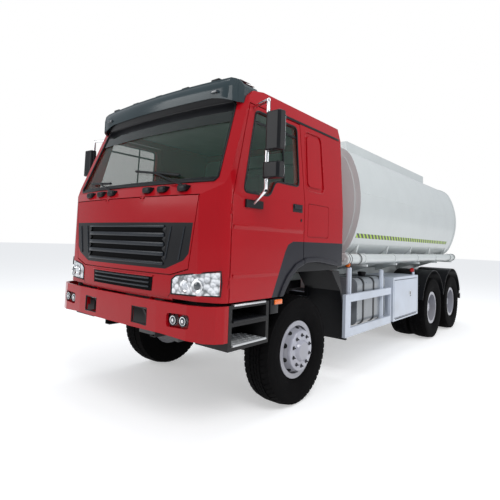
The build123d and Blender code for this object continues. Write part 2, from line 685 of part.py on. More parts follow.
# Axles: front beam, two driven housings and their shafts
kingpin_x = 820.0
eye_radius = 55.0
pin_radius = 22.0
spindle_radius = 45.0
beam = [
    (-760, 625), (-760, 515), (-640, 430), (640, 430), (760, 515), (760, 625), (680, 625), (580, 530), (-580, 530),
    (-680, 625),
]
with BuildPart() as axles:
    add(front_prism([(x, z) for x, z in beam], front_axle_y - 50, front_axle_y + 50))
    for side in (-1, 1):
        with BuildPart(mode=Mode.PRIVATE) as eye_end:
            add(rod((side * kingpin_x, front_axle_y, hub_z - 90), (side * kingpin_x, front_axle_y, hub_z + 90), eye_radius))
            arm_x = sorted((side * 700, side * kingpin_x))
            add(block(arm_x, (front_axle_y - 45, front_axle_y + 45), (520, 620)))
        add(eye_end.part)
        pin_hole = rod((side * kingpin_x, front_axle_y, hub_z - 200), (side * kingpin_x, front_axle_y, hub_z + 200),
                       pin_radius + pivot_clearance)
        add(pin_hole, mode=Mode.SUBTRACT)
    for axle_y in rear_axle_y:
        add(rod((-690, axle_y, hub_z), (690, axle_y, hub_z), 70))
        add(rod((-1030, axle_y, hub_z), (1030, axle_y, hub_z), spindle_radius))
        add(rod((0, axle_y - 190, hub_z), (0, axle_y + 150, hub_z), 180))
    add(rod((0, nose + 2706, 800), (0, rear_axle_y[0] - 150, hub_z + 40), 45))
    add(rod((0, rear_axle_y[0] + 140, hub_z), (0, rear_axle_y[1] - 180, hub_z), 45))
write(axles, "axles")

# Leaf springs
front_spring_x = [355.0, 445.0]
rear_spring_x = [455.0, 545.0]
front_spring = [
    (700, 690), (1000, 640), (1420, 610), (1580, 610), (2000, 640), (2300, 690), (2300, 715), (2000, 680),
    (1580, 672), (1420, 672), (1000, 680), (700, 715),
]
tube_top = hub_z + 70
rear_spring = [
    (-780, tube_top + 8), (-780, tube_top + 38), (-200, 730), (200, 730), (780, tube_top + 38), (780, tube_top + 8),
    (570, tube_top + 8), (120, 640), (-120, 640), (-570, tube_top + 8),
]
with BuildPart() as leaf_springs:
    with BuildPart(mode=Mode.PRIVATE) as left_springs:
        add(side_prism([(nose + y, z) for y, z in front_spring], *front_spring_x))
        add(block(front_spring_x, (front_axle_y - 80, front_axle_y + 80), (530, 610)))
        for hanger_y in (nose + 690, nose + 2250):
            add(block(front_spring_x, (hanger_y, hanger_y + 60), (680, rail_bottom)))
        add(side_prism([(bogie_y + y, z) for y, z in rear_spring], *rear_spring_x))
        for axle_y in rear_axle_y:
            seat = block(rear_spring_x, (axle_y - 60, axle_y + 60), (tube_top - 25, tube_top + 12))
            with BuildPart(mode=Mode.PRIVATE) as seat_block:
                add(seat)
                add(rod((400, axle_y, hub_z), (700, axle_y, hub_z), 70 + fit_gap), mode=Mode.SUBTRACT)
            add(seat_block.part)
        with BuildPart(mode=Mode.PRIVATE) as saddle:
            add(block(rear_spring_x, (bogie_y - 80, bogie_y + 80), (500, 645)))
            add(rod((400, bogie_y, 540), (700, bogie_y, 540), 45 + fit_gap), mode=Mode.SUBTRACT)
        add(saddle.part)
    add(left_springs.part)
    add(mirrored(left_springs.part))
write(leaf_springs, "leaf_springs")

# Knuckles and wheels
with BuildPart() as knuckle_left:
    for z_from, z_to in ((hub_z - 130, hub_z - 96), (hub_z + 96, hub_z + 130)):
        add(rod((kingpin_x, front_axle_y, z_from), (kingpin_x, front_axle_y, z_to), eye_radius))
        add(block((kingpin_x, 905), (front_axle_y - 55, front_axle_y + 55), (z_from, z_to)))
    add(rod((kingpin_x, front_axle_y, hub_z - 120), (kingpin_x, front_axle_y, hub_z + 120), pin_radius))
    add(block((882, 910), (front_axle_y - 60, front_axle_y + 60), (hub_z - 130, hub_z + 130)))
    add(rod((900, front_axle_y, hub_z), (1130, front_axle_y, hub_z), spindle_radius))
    add(plan_prism([(790, front_axle_y + 40), (850, front_axle_y + 40), (800, front_axle_y + 200), (750, front_axle_y + 200)],
                   hub_z - 130, hub_z - 100))
write(knuckle_left, "knuckle_left")
with BuildPart() as knuckle_right:
    add(mirrored(knuckle_left.part))
write(knuckle_right, "knuckle_right")

tyre_profile = [
    (107.7, rim_radius + fit_gap), (107.7, 300), (tyre_half_width, 405), (tyre_half_width, 480), (128, tyre_radius),
    (-128, tyre_radius), (-tyre_half_width, 480), (-tyre_half_width, 405), (-107.7, 300), (-107.7, rim_radius + fit_gap),
]
bore = spindle_radius + pivot_clearance
front_rim_profile = [
    (118, 247), (118, flange_radius), (108, flange_radius), (108, rim_radius), (-108, rim_radius),
    (-108, flange_radius), (-118, flange_radius), (-118, 247), (10, 241), (30, 232), (135, 186), (150, 182),
    (150, 115), (10, 115), (10, 215), (-130, 215), (-130, 195), (-5, 195), (-5, 110), (-70, 110), (-70, bore),
    (120, bore), (120, 0), (215, 0), (215, 85), (200, 100), (172, 110), (165, 190), (145, 196), (50, 240),
]
outer_rear_profile = [
    (293, 247), (293, flange_radius), (283, flange_radius), (283, rim_radius), (67, rim_radius), (67, flange_radius),
    (57, flange_radius), (57, 247), (110, 241), (75, 220), (12, 200), (0, 200), (0, 112), (14, 112), (14, 190),
    (85, 205), (135, 241),
]
rear_hub_profile = [
    (-150, bore), (-150, 105), (-90, 112), (60, 112), (70, 100), (150, 95), (225, 90), (235, 70), (235, 0), (130, 0),
    (130, bore),
]
drum_profile = [(-280, 195), (-280, 215), (-170, 215), (-170, 195)]


def placed(profile, centre_x, side):
    """A wheel profile moved out to centre_x on one side of the truck."""
    return [(side * (centre_x + x), r) for x, r in profile]


wheels = [
    ("front_left", 1, front_wheel_x, front_axle_y), ("front_right", -1, front_wheel_x, front_axle_y),
    ("mid_left", 1, dual_centre_x, rear_axle_y[0]), ("mid_right", -1, dual_centre_x, rear_axle_y[0]),
    ("rear_left", 1, dual_centre_x, rear_axle_y[1]), ("rear_right", -1, dual_centre_x, rear_axle_y[1]),
]
for wheel, side, centre_x, wheel_y in wheels:
    with BuildPart() as rim:
        if wheel.startswith("front"):
            add(turned(placed(front_rim_profile, centre_x, side), wheel_y, hub_z))
        else:
            add(turned(placed(outer_rear_profile, centre_x, side), wheel_y, hub_z))
            inner_profile = [(-x, r) for x, r in outer_rear_profile]
            add(turned(placed(inner_profile, centre_x, side), wheel_y, hub_z))
            add(turned(placed(rear_hub_profile, centre_x, side), wheel_y, hub_z))
    write(rim, f"rim_{wheel}")
    with BuildPart() as tyre:
        if wheel.startswith("front"):
            add(turned(placed(tyre_profile, centre_x, side), wheel_y, hub_z))
        else:
            for dual in (-1, 1):
                add(turned(placed(tyre_profile, centre_x + dual * dual_half_spacing, side), wheel_y, hub_z))
    write(tyre, f"tyre_{wheel}")

# Mudguards over the rear wheels and behind the front wheels
guard_radius = 700.0
with BuildPart() as mudguards:
    with BuildPart(mode=Mode.PRIVATE) as left_guards:
        for axle_y in rear_axle_y:
            add(rod((590, axle_y, hub_z), (half_width, axle_y, hub_z), guard_radius + 8))
        for axle_y in rear_axle_y:
            add(rod((500, axle_y, hub_z), (half_width + 50, axle_y, hub_z), guard_radius), mode=Mode.SUBTRACT)
        add(block((580, 1300), (rear_axle_y[0] - 900, rear_axle_y[1] + 900), (760, 1400)), mode=Mode.INTERSECT)
        for stay_y in (rear_axle_y[0] - 560, rear_axle_y[1] + 560):
            add(rod((rail_x, stay_y, hub_z + 425), (1150, stay_y, hub_z + 425), 20))
        add(rod((rail_x, bogie_y, 790), (1150, bogie_y, 790), 20))
        flap = [(2125, 1372), (2350, 1125), (2520, 506), (2550, 506), (2385, 1140), (2300, 1372)]
        add(side_prism([(nose + y, z) for y, z in flap], 700, half_width - 45))
        add(block((rail_x, 720), (nose + 2330, nose + 2370), (1010, 1055)))
        add(block((700, 740), (nose + 2330, nose + 2370), (1010, 1160)))
    add(left_guards.part)
    add(mirrored(left_guards.part))
write(mudguards, "mudguards")

# Fuel tank, air tanks and silencer
with BuildPart() as fuel_tank:
    with BuildSketch(Plane.XZ.offset(-(nose + 3850))):
        with Locations((850, 935)):
            RectangleRounded(640, 620, 90)
    extrude(amount=960)
    for strap_y in (3050, 3640):
        with BuildPart(mode=Mode.PRIVATE) as strap:
            add(block((rail_x, 1000), (nose + strap_y, nose + strap_y + 60), (600, 640)))
            add(block((rail_x, 545), (nose + strap_y, nose + strap_y + 60), (600, 1050)))
        add(strap.part)
write(fuel_tank, "fuel_tank")

with BuildPart() as air_tanks:
    for tank_x, tank_z in ((-600, 900), (-900, 900)):
        add(rod((tank_x, nose + 3950, tank_z), (tank_x, nose + 4950, tank_z), 135))
    for strap_y in (4100, 4700):
        add(block((-1000, -rail_x), (nose + strap_y, nose + strap_y + 60), (1000, 1050)))
write(air_tanks, "air_tanks")

with BuildPart() as exhaust_silencer:
    with BuildSketch(Plane.XZ.offset(-(nose + 3450))):
        with Locations((-850, 880)):
            RectangleRounded(560, 520, 80)
    extrude(amount=800)
    add(block((-600, -rail_x), (nose + 2800, nose + 2860), (900, 1000)))
    add(block((-600, -rail_x), (nose + 3200, nose + 3260), (900, 1000)))
write(exhaust_silencer, "exhaust_silencer")

# Side guards, with the cabinet on the left
guard_in = half_width - 40
cabinet_y = [nose + 3990, nose + 5140]
cabinet_z = [557.0, 1220.0]
cabinet_door_y = [nose + 4040, nose + 5090]
cabinet_door_z = [607.0, 1170.0]
cabinet_wall = 30.0
cabinet_hinge_x = half_width + 1
cabinet_hinge_y = cabinet_door_y[0] - 8
cabinet_ears, cabinet_lugs, cabinet_lug_space = upright_hinge(cabinet_hinge_x, cabinet_hinge_y, (720, 1060), 20, 15)
with BuildPart() as side_guards:
    with BuildPart(mode=Mode.PRIVATE) as left_guard:
        add(block((guard_in, half_width), (nose + 2410, nose + 3900), (555, 1075)))
        add(block((guard_in - 5, half_width + 5), (nose + 2540, nose + 3880), (660, 980)), mode=Mode.SUBTRACT)
    for guard in (left_guard.part, mirrored(left_guard.part)):
        add(guard)
    for side in (-1, 1):
        for post_y, post_top in ((2600, 1400), (3650, 1340)):
            post_x = sorted((side * (half_width - 65), side * guard_in))
            add(block(post_x, (nose + post_y, nose + post_y + 40), (555, post_top)))
        for arm_y in (2450, 3858):
            arm_x = sorted((side * rail_x, side * guard_in))
            add(block(arm_x, (nose + arm_y, nose + arm_y + 36), (990, 1050)))
    add(block((-half_width, -guard_in), (nose + 3900, nose + 5140), (980, 1075)))
    add(block((-half_width, -guard_in), (nose + 3900, nose + 5140), (555, 660)))
    add(block((-half_width, -guard_in), (nose + 5040, nose + 5140), (555, 1075)))
    add(block((-guard_in, -rail_x), (nose + 5060, nose + 5100), (990, 1050)))
    with BuildPart(mode=Mode.PRIVATE) as cabinet:
        add(block((640, half_width), cabinet_y, cabinet_z))
        inner_y = (cabinet_y[0] + cabinet_wall, cabinet_y[1] - cabinet_wall)
        inner_z = (cabinet_z[0] + cabinet_wall, cabinet_z[1] - cabinet_wall)
        add(block((670, half_width - 40), inner_y, inner_z), mode=Mode.SUBTRACT)
        hole_y = (cabinet_door_y[0] - 10, cabinet_door_y[1] + 10)
        hole_z = (cabinet_door_z[0] - 10, cabinet_door_z[1] + 10)
        add(block((half_width - 60, half_width + 5), hole_y, hole_z), mode=Mode.SUBTRACT)
    add(cabinet.part)
    add(cabinet_lug_space, mode=Mode.SUBTRACT)
    add(cabinet_ears)
    for arm_y in (4100, 4950):
        add(block((rail_x, 660), (nose + arm_y, nose + arm_y + 60), (950, 1050)))
write(side_guards, "side_guards")

with BuildPart() as cabinet_door:
    add(block((half_width - 30, half_width), cabinet_door_y, cabinet_door_z))
    add(cabinet_lugs)
write(cabinet_door, "cabinet_door")


# Tank
def tank_form(amount, y_from, y_to):
    """The tank's section, grown by amount and run between two distances."""
    side_centre = Vector(tank_half_width - tank_side_radius, 0)
    top_centre = Vector(0, tank_half_height - tank_top_radius)
    apart = top_centre - side_centre
    to_side = tank_side_radius - tank_corner_radius
    to_top = tank_top_radius - tank_corner_radius
    along = (to_side**2 - to_top**2 + apart.length**2) / (2 * apart.length)
    across = math.sqrt(to_side**2 - along**2)
    ahead = apart.normalized()
    corner = side_centre + ahead * along + Vector(-ahead.Y, ahead.X) * across
    on_side = corner + (corner - side_centre).normalized() * (tank_corner_radius + amount)
    on_top = corner + (corner - top_centre).normalized() * (tank_corner_radius + amount)
    middle = (on_side - corner) + (on_top - corner)
    on_corner = corner + middle.normalized() * (tank_corner_radius + amount)
    points = [(0, tank_half_height + amount), (on_top.X, on_top.Y), (on_corner.X, on_corner.Y), (on_side.X, on_side.Y),
              (tank_half_width + amount, 0)]
    quarter = points + [(x, -z) for x, z in reversed(points[:-1])]
    loop = quarter + [(-x, z) for x, z in reversed(quarter[1:-1])]
    loop = loop[1:] + loop[:1]
    with BuildPart() as form:
        with BuildSketch(Plane(origin=(0, y_to, tank_centre_z), x_dir=(1, 0, 0), z_dir=(0, -1, 0))):
            with BuildLine():
                for start in range(0, len(loop), 2):
                    ThreePointArc(loop[start], loop[start + 1], loop[(start + 2) % len(loop)])
            make_face()
        extrude(amount=y_to - y_from)
    return form.part


tank_clear = tank_form(fit_gap, tank_front - 50, tank_rear + 50)
with BuildPart() as tank_shell:
    add(tank_form(0, tank_front + 20, tank_rear - 20))
    for ring_y in (tank_front + 12, tank_rear - 72):
        add(tank_form(12, ring_y, ring_y + 60))
    add(tank_form(-70, tank_front, tank_rear))
write(tank_shell, "tank_shell")

saddle_y = [nose + y for y in (3050, 4150, 5250, 6350, 7450)]
saddle = [
    (-430, 1235), (430, 1235), (1000, 1440), (1060, 1560), (1090, 1700), (-1090, 1700), (-1060, 1560), (-1000, 1440),
]
hose_x = 1150.0
hose_z = 1508.0
hose_radius = 75.0
with BuildPart() as tank_cradle:
    for y in saddle_y:
        with BuildPart(mode=Mode.PRIVATE) as one_saddle:
            add(front_prism(saddle, y, y + 40))
            add(tank_clear, mode=Mode.SUBTRACT)
            for shelf_x in ((890, 1225), (-1225, -890)):
                add(block(shelf_x, (y, y + 40), (1405, hose_z - hose_radius - fit_gap)))
        add(one_saddle.part)
    for beam_x in ((rail_x - rail_flange, rail_x), (-rail_x, rail_flange - rail_x)):
        add(block(beam_x, (tank_front, tank_rear), (rail_top, 1300)))
write(tank_cradle, "tank_cradle")

with BuildPart() as hose_tubes:
    for side in (-1, 1):
        add(rod((side * hose_x, nose + 2560, hose_z), (side * hose_x, nose + 7780, hose_z), hose_radius - 8))
        for y_from, y_to in ((2510, 2620), (2860, 2900), (7380, 7420), (7680, 7800)):
            add(rod((side * hose_x, nose + y_from, hose_z), (side * hose_x, nose + y_to, hose_z), hose_radius))
        for y in saddle_y:
            add(rod((side * hose_x, y - 10, hose_z), (side * hose_x, y + 50, hose_z), hose_radius))
write(hose_tubes, "hose_tubes")

# Coaming and manholes on the tank's top
manhole_y = [nose + 4400, nose + 6400]
neck_radius = 270.0
neck_top = 3240.0
lid_hinge_back = 310.0
hinge_z = neck_top + 20
with BuildPart() as tank_coaming:
    with BuildPart(mode=Mode.PRIVATE) as coaming:
        add(block((-665, 665), (nose + 3500, nose + 7300), (3050, 3300)))
        add(block((-640, 640), (nose + 3525, nose + 7275), (3000, 3350)), mode=Mode.SUBTRACT)
        for y in manhole_y:
            add(rod((0, y, 3080), (0, y, neck_top), neck_radius))
            for ear_x in (-52, 36):
                add(block((ear_x, ear_x + 16), (y + 256, y + lid_hinge_back + 12), (3100, hinge_z + 12)))
            add(block((-52, 52), (y + 240, y + lid_hinge_back + 12), (3100, 3180)))
            add(rod((-45, y + lid_hinge_back, hinge_z), (45, y + lid_hinge_back, hinge_z), 7))
        add(tank_clear, mode=Mode.SUBTRACT)
    add(coaming.part)
write(tank_coaming, "tank_coaming")

for number, y in enumerate(manhole_y, start=1):
    with BuildPart() as manhole_lid:
        add(rod((0, y, neck_top + 6), (0, y, neck_top + 36), neck_radius - 20))
        add(block((-30, 30), (y + 200, y + lid_hinge_back), (hinge_z - 12, hinge_z + 12)))
        add(rod((-30, y + lid_hinge_back, hinge_z), (30, y + lid_hinge_back, hinge_z), 14))
        add(rod((-35, y + lid_hinge_back, hinge_z), (35, y + lid_hinge_back, hinge_z), 7.1), mode=Mode.SUBTRACT)
    write(manhole_lid, f"manhole_lid_{number}")

# Rear underrun bar and ladder
underrun_arm = [(tail - 400, rail_bottom), (tail - 130, rail_bottom), (tail - 60, 680), (tail - 60, 570), (tail - 110, 570)]
with BuildPart() as rear_underrun:
    add(block((-1215, 1215), (tail - 70, tail), (570, 680)))
    for arm_x in (345, -425):
        add(side_prism(underrun_arm, arm_x, arm_x + 80))
    for lamp_x in ((1000, 1060), (-1060, -1000)):
        add(block(lamp_x, (tail - 65, tail - 15), (680, 740)))
        add(block(lamp_x, (tail - 70, tail - 15), (680, 790)))
write(rear_underrun, "rear_underrun")

ladder_y = tank_rear + 150
with BuildPart() as rear_ladder:
    for side in (-1, 1):
        add(rod((side * 200, ladder_y, 1000), (side * 200, ladder_y, 3240), 16))
        add(rod((side * 200, ladder_y, 3240), (side * 200, nose + 7300, 3240), 16))
        add(rod((side * 200, ladder_y, 1100), (side * 200, tank_rear + 10, 1100), 16))
    for rung in range(8):
        add(rod((-200, ladder_y, 1150 + 270 * rung), (200, ladder_y, 1150 + 270 * rung), 12))
write(rear_ladder, "rear_ladder")

print(len(written), "pieces")
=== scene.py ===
"""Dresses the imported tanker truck: finishes, fittings, lamps, tyres' tread and the camera.

Metres throughout. X is the truck's left, Y its rear and Z up.
"""
import math

import bpy
from mathutils import Matrix, Vector


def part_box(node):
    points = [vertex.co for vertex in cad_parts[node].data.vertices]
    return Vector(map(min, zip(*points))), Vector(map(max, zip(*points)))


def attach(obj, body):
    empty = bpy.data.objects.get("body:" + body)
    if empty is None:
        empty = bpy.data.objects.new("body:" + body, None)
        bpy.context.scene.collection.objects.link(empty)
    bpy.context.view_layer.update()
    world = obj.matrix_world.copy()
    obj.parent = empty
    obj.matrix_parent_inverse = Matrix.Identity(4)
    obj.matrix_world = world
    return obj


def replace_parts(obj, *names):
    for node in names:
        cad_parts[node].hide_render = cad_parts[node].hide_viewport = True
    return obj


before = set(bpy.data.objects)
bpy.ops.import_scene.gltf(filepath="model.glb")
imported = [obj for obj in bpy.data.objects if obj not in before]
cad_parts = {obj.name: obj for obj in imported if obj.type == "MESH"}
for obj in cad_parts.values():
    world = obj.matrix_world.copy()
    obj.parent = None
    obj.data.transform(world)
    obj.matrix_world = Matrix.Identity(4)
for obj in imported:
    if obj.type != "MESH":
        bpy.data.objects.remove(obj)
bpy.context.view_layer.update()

# Shared places, as in the solids
NOSE = -4.150
HALF = 1.245
HUB_Z = 0.5625
AXLE_Y = {"front": 1.5, "mid": 6.1, "rear": 7.45}
FRONT_HUB_X, REAR_HUB_X = 1.020, 0.910
TWIN_X = {"outer": 1.085, "inner": 0.735}
TREAD_REACH = 0.5620
FRONT_BOW = 8.41
TUBE_X, TUBE_Z = 1.150, 1.508
POST_X = 1.176
SEAT_X = 0.520
TANK_SIDE_X, TANK_SIDE_Z, TANK_SIDE_RADIUS = -0.080, 2.285, 1.3
UP, AHEAD, LEFT = (0, 0, 1), (0, -1, 0), (1, 0, 0)
SIDES = ((1, "left"), (-1, "right"))

# The least radius of a turned piece, how long the cushions' cloth settles and how wide their channels are
TIP, CLOTH_FRAMES, GROOVE_WIDTH = 0.0004, 20, 0.011

# The photograph's camera, in degrees, metres and pixels
YAW, PITCH, ROLL = 39.69, 3.84, 2.12
EYE = (3.555, -2.265, 1.675)
PHOTO_SIZE, FOCAL_LENGTH, RISE, SENSOR = 500, 410.5, 35.2, 36


def at(y):
    """A place along the truck, from its distance behind the bumper's face."""
    return NOSE + y


def point(x, y, z):
    """A point, with y measured from the bumper's face."""
    return Vector((x, at(y), z))


# Camera

def set_camera():
    """The camera at the place and with the lens that fit the truck's corners."""
    yaw, pitch, roll = (math.radians(a) for a in (YAW, PITCH, ROLL))
    ahead = Vector((-math.sin(yaw) * math.cos(pitch), math.cos(yaw) * math.cos(pitch), math.sin(pitch)))
    right = Vector((math.cos(yaw), math.sin(yaw), 0))
    up = right.cross(ahead)
    tilted_right = right * math.cos(roll) + up * math.sin(roll)
    tilted_up = up * math.cos(roll) - right * math.sin(roll)
    data = bpy.data.cameras.new("camera")
    data.sensor_width = SENSOR
    data.lens = FOCAL_LENGTH / PHOTO_SIZE * SENSOR
    data.shift_y = -RISE / PHOTO_SIZE
    data.clip_end = 200
    camera = bpy.data.objects.new("camera", data)
    turn = Matrix((tilted_right, tilted_up, -ahead)).transposed().to_4x4()
    camera.matrix_world = Matrix.Translation((EYE[0], at(EYE[1]), EYE[2])) @ turn
    bpy.context.collection.objects.link(camera)
    bpy.context.scene.camera = camera


set_camera()


# Materials

class Value:
    """A shader socket that Python's own operators work on."""

    def __init__(self, finish, socket):
        self.finish, self.socket = finish, socket

    def maths(self, operation, *others):
        return self.finish.node("Math", dict(enumerate((self, *others))), {"operation": operation})

    def __add__(self, other):
        return self.maths("ADD", other)

    def __sub__(self, other):
        return self.maths("SUBTRACT", other)

    def __mul__(self, other):
        return self.maths("MULTIPLY", other)

    def __gt__(self, other):
        return self.maths("GREATER_THAN", other)

    def __lt__(self, other):
        return self.maths("LESS_THAN", other)

    def __rsub__(self, other):
        return self * -1 + other

    def fraction(self):
        return self.maths("FRACT")

    __radd__, __rmul__ = __add__, __mul__


def rgba(colour):
    """A colour with its fourth part, where it is plain numbers."""
    return (*colour, 1) if isinstance(colour, tuple) else colour


class Finish:
    """A material with a Principled shader, and one way to add any node to it."""

    def __init__(self, name, colour, roughness=0.5, metallic=0.0, **fixed):
        self.material = bpy.data.materials.new(name)
        self.material.use_nodes = True
        self.tree = self.material.node_tree
        self.shader = self.tree.nodes["Principled BSDF"]
        self.set("Base Color", rgba(colour))
        self.set("Roughness", roughness)
        self.set("Metallic", metallic)
        for slot, value in fixed.items():
            self.set(slot.replace("_", " "), value)
        self.material.diffuse_color = rgba(colour)

    def join(self, slot, value):
        if isinstance(value, Value):
            self.tree.links.new(value.socket, slot)
        else:
            slot.default_value = value

    def set(self, slot, value):
        self.join(self.shader.inputs[slot], value)

    def node(self, kind, sockets=None, settings=None, output=0):
        """Any node: its settings first, then the values or links of its sockets, by name or number."""
        made = self.tree.nodes.new("ShaderNode" + kind)
        for key, value in (settings or {}).items():
            setattr(made, key, value)
        for key, value in (sockets or {}).items():
            self.join(made.inputs[key], value)
        return Value(self, made.outputs[output])

    def place(self):
        """Object coordinates."""
        return self.node("TexCoord", output="Object")

    def axes(self, spot):
        """The X, Y and Z of a place."""
        parts = self.node("SeparateXYZ", {"Vector": spot}).socket.node
        return [Value(self, output) for output in parts.outputs]

    def noise(self, spot, scale, detail=3.0):
        return self.node("TexNoise", {"Vector": spot, "Scale": scale, "Detail": detail})

    def mix(self, mask, first, second):
        """Two colours mixed by a mask, through the Mix node's sockets for colours."""
        return self.node("Mix", {0: mask, 6: rgba(first), 7: rgba(second)}, {"data_type": "RGBA"}, 2)

    def between(self, value, low, high):
        """A value stretched so that low becomes 0 and high 1."""
        return self.node("MapRange", {"Value": value, "From Min": low, "From Max": high})

    def bump(self, height, strength, distance):
        self.set("Normal", self.node("Bump", {"Strength": strength, "Distance": distance, "Height": height}))


def painted(name, colour, roughness, coat, dust_and_shade=0.0, dust=(0.30, 0.27, 0.23), gloss=0.5):
    """Sprayed paint with a faint orange peel and, low down, a blend towards a second colour: a little road dust
    on most finishes, and on the fuel tank a near black that paints the shade on its lower part.
    """
    made = Finish(name, colour, roughness, Coat_Weight=coat, Coat_Roughness=0.06, Specular_IOR_Level=gloss)
    spot = made.place()
    height = made.axes(spot)[2]
    patch = made.noise(spot, 2.3)
    low = made.between(height, 1.5, 0.3) * dust_and_shade * made.between(patch, 0.3, 0.7)
    deeper = tuple(c * 0.86 for c in colour)
    made.set("Base Color", made.mix(low, made.mix(patch, colour, deeper), dust))
    made.set("Roughness", made.between(made.noise(spot, 9.0), 0.2, 0.8) * 0.08 + roughness)
    made.bump(made.noise(spot, 160.0, 1.0), 0.05, 0.0006)
    return made.material


def moulded(name, colour, roughness, grain=900.0, gloss=0.3):
    """Moulded plastic with a fine grain and a faint fade."""
    made = Finish(name, colour, roughness, Specular_IOR_Level=gloss)
    spot = made.place()
    fade = made.noise(spot, 3.0)
    made.set("Base Color", made.mix(fade, colour, tuple(min(1, c * 1.5 + 0.004) for c in colour)))
    made.bump(made.noise(spot, grain, 1.0), 0.15, 0.0004)
    return made.material


def metal(name, colour, roughness, brushed=0.0):
    """Bare or plated metal, with rubbed patches."""
    made = Finish(name, colour, roughness, 1.0)
    spot = made.place()
    rubbed = made.noise(spot, 12.0)
    made.set("Roughness", rubbed * 0.18 + roughness)
    made.set("Base Color", made.mix(rubbed, colour, tuple(c * 0.85 for c in colour)))
    if brushed:
        made.bump(made.noise(spot, 300.0, 1.0), brushed, 0.0005)
    return made.material


RED = painted("red_paint", (0.41, 0.005, 0.011), 0.15, 0.12, 0.10, (0.24, 0.08, 0.07), 0.16)
WHITE = painted("tank_white", (0.63, 0.665, 0.66), 0.28, 0.3, 0.25)
BLUE_WHITE = painted("guard_white", (0.60, 0.66, 0.76), 0.32, 0.25, 0.35)
BLACK_PAINT = painted("chassis_black", (0.009, 0.009, 0.010), 0.45, 0.0, 0.10, (0.10, 0.09, 0.08), 0.25)
BLACK = moulded("black_plastic", (0.004, 0.0042, 0.0055), 0.30, 900.0, 0.2)
TRIM_BLACK = moulded("arch_plastic", (0.009, 0.009, 0.014), 0.30, 900.0, 0.25)
SLATE = moulded("visor_slate", (0.022, 0.035, 0.040), 0.16, 900.0, 0.32)
SLAT_BLACK = moulded("grille_slat_black", (0.006, 0.009, 0.014), 0.26, 900.0, 0.32)
DARK_STEEL = metal("dark_steel", (0.10, 0.10, 0.11), 0.35)
RIM = painted("rim_silver", (0.36, 0.365, 0.42), 0.26, 0.4, 0.35)
HUB = painted("hub_silver", (0.44, 0.445, 0.52), 0.18, 0.5, 0.25)
CAST = painted("engine_grey", (0.10, 0.10, 0.105), 0.6, 0.0, 0.4)
ALUMINIUM = metal("bare_aluminium", (0.80, 0.81, 0.82), 0.22, 0.1)
# Low down the fuel tank's colour runs to near black: painted shade on its lower part.
TANK_SILVER = painted("fuel_tank_silver", (0.27, 0.295, 0.32), 0.26, 0.5, 0.8, (0.05, 0.05, 0.05))
CHROME = metal("chrome", (0.86, 0.87, 0.88), 0.05)
TRIM_GREY = moulded("cab_trim_grey", (0.05, 0.05, 0.05), 0.6)
LINING = moulded("cab_lining_pale", (0.40, 0.45, 0.41), 0.75, 300.0)
CLOTH = moulded("seat_cloth", (0.16, 0.15, 0.15), 0.9, 400.0)
ORANGE = Finish("orange_lens", (0.85, 0.16, 0.01), 0.12, Coat_Weight=0.6).material
PALE_LENS = Finish("pale_lens", (0.62, 0.66, 0.70), 0.05, Coat_Weight=1.0).material
DARK_LENS = Finish("projector_lens", (0.04, 0.05, 0.06), 0.03, Coat_Weight=1.0).material
RED_LENS = Finish("red_lens", (0.55, 0.01, 0.01), 0.12, Coat_Weight=0.6).material


def clear_glass(name, tint, see_through):
    """Tinted glass: a share of each ray passes, and the rest is a glossy skin."""
    made = Finish(name, tint, 0.03, Coat_Weight=0.5)
    made.set("Alpha", 1 - see_through)
    return made.material


SCREEN = clear_glass("cab_glass", (0.018, 0.055, 0.036), 0.70)
# A dark tint for the top of the windscreen: the visor's shadow painted into the glass
VISOR_SHADOW_TINT = clear_glass("visor_shadow_tint", (0.004, 0.010, 0.007), 0.30)
CLEAR = clear_glass("lamp_cover", (0.55, 0.58, 0.60), 0.72)


def rubber_finish():
    """Tyre rubber with uneven dust."""
    made = Finish("tyre_rubber", (0.006, 0.006, 0.007), 0.80, Specular_IOR_Level=0.04)
    spot = made.place()
    dust = made.noise(spot, 6.0)
    made.set("Base Color", made.mix(dust, (0.0025, 0.0025, 0.003), (0.007, 0.0065, 0.0065)))
    made.bump(made.noise(spot, 120.0, 2.0), 0.15, 0.001)
    return made.material


RUBBER = rubber_finish()

finishes = {
    RED: ["cab_shell", "front_panels", "front_lid", "door_left", "door_right", "front_bumper"],
    WHITE: ["tank_shell", "tank_cradle", "tank_coaming", "hose_tubes", "rear_ladder", "manhole_lid_1",
            "manhole_lid_2"],
    BLUE_WHITE: ["side_guards", "cabinet_door"],
    BLACK_PAINT: ["rear_underrun", "chassis_frame", "entry_steps", "axles", "leaf_springs", "air_tanks",
                  "exhaust_silencer", "knuckle_left", "knuckle_right"],
    BLACK: ["grille", "mirror_left", "mirror_right", "mudguards"],
    TRIM_BLACK: ["rear_arch_trims", "door_trim_left", "door_trim_right"],
    SLATE: ["sun_visor"],
    SCREEN: ["windscreen", "door_glass_left", "door_glass_right"],
    CLEAR: ["headlamps", "chassis_lamps"],
    CAST: ["engine_and_gearbox"],
    TANK_SILVER: ["fuel_tank"],
    TRIM_GREY: ["dashboard"],
    CLOTH: ["seats"],
}
wheels = [f"{row}_{side}" for row in ("front", "mid", "rear") for side in ("left", "right")]
finishes[RIM] = [f"rim_{wheel}" for wheel in wheels]
finishes[RUBBER] = [f"tyre_{wheel}" for wheel in wheels]
for finish, nodes in finishes.items():
    for node in nodes:
        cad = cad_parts[node]
        if not cad.material_slots:
            cad.data.materials.append(finish)
        for slot in cad.material_slots:
            slot.material = finish


# Ways of making pieces

def deselect():
    bpy.ops.object.select_all(action="DESELECT")


def choose(piece):
    """Selects one piece alone."""
    deselect()
    piece.select_set(True)
    bpy.context.view_layer.objects.active = piece


def settle(piece, material, smooth=35):
    """Puts a new piece's place into its mesh, and gives it its finish and shading."""
    choose(piece)
    bpy.ops.object.transform_apply(location=True, rotation=True, scale=True)
    if material:
        piece.data.materials.clear()
        piece.data.materials.append(material)
    if smooth:
        bpy.ops.object.shade_smooth_by_angle(angle=math.radians(smooth))
    return piece


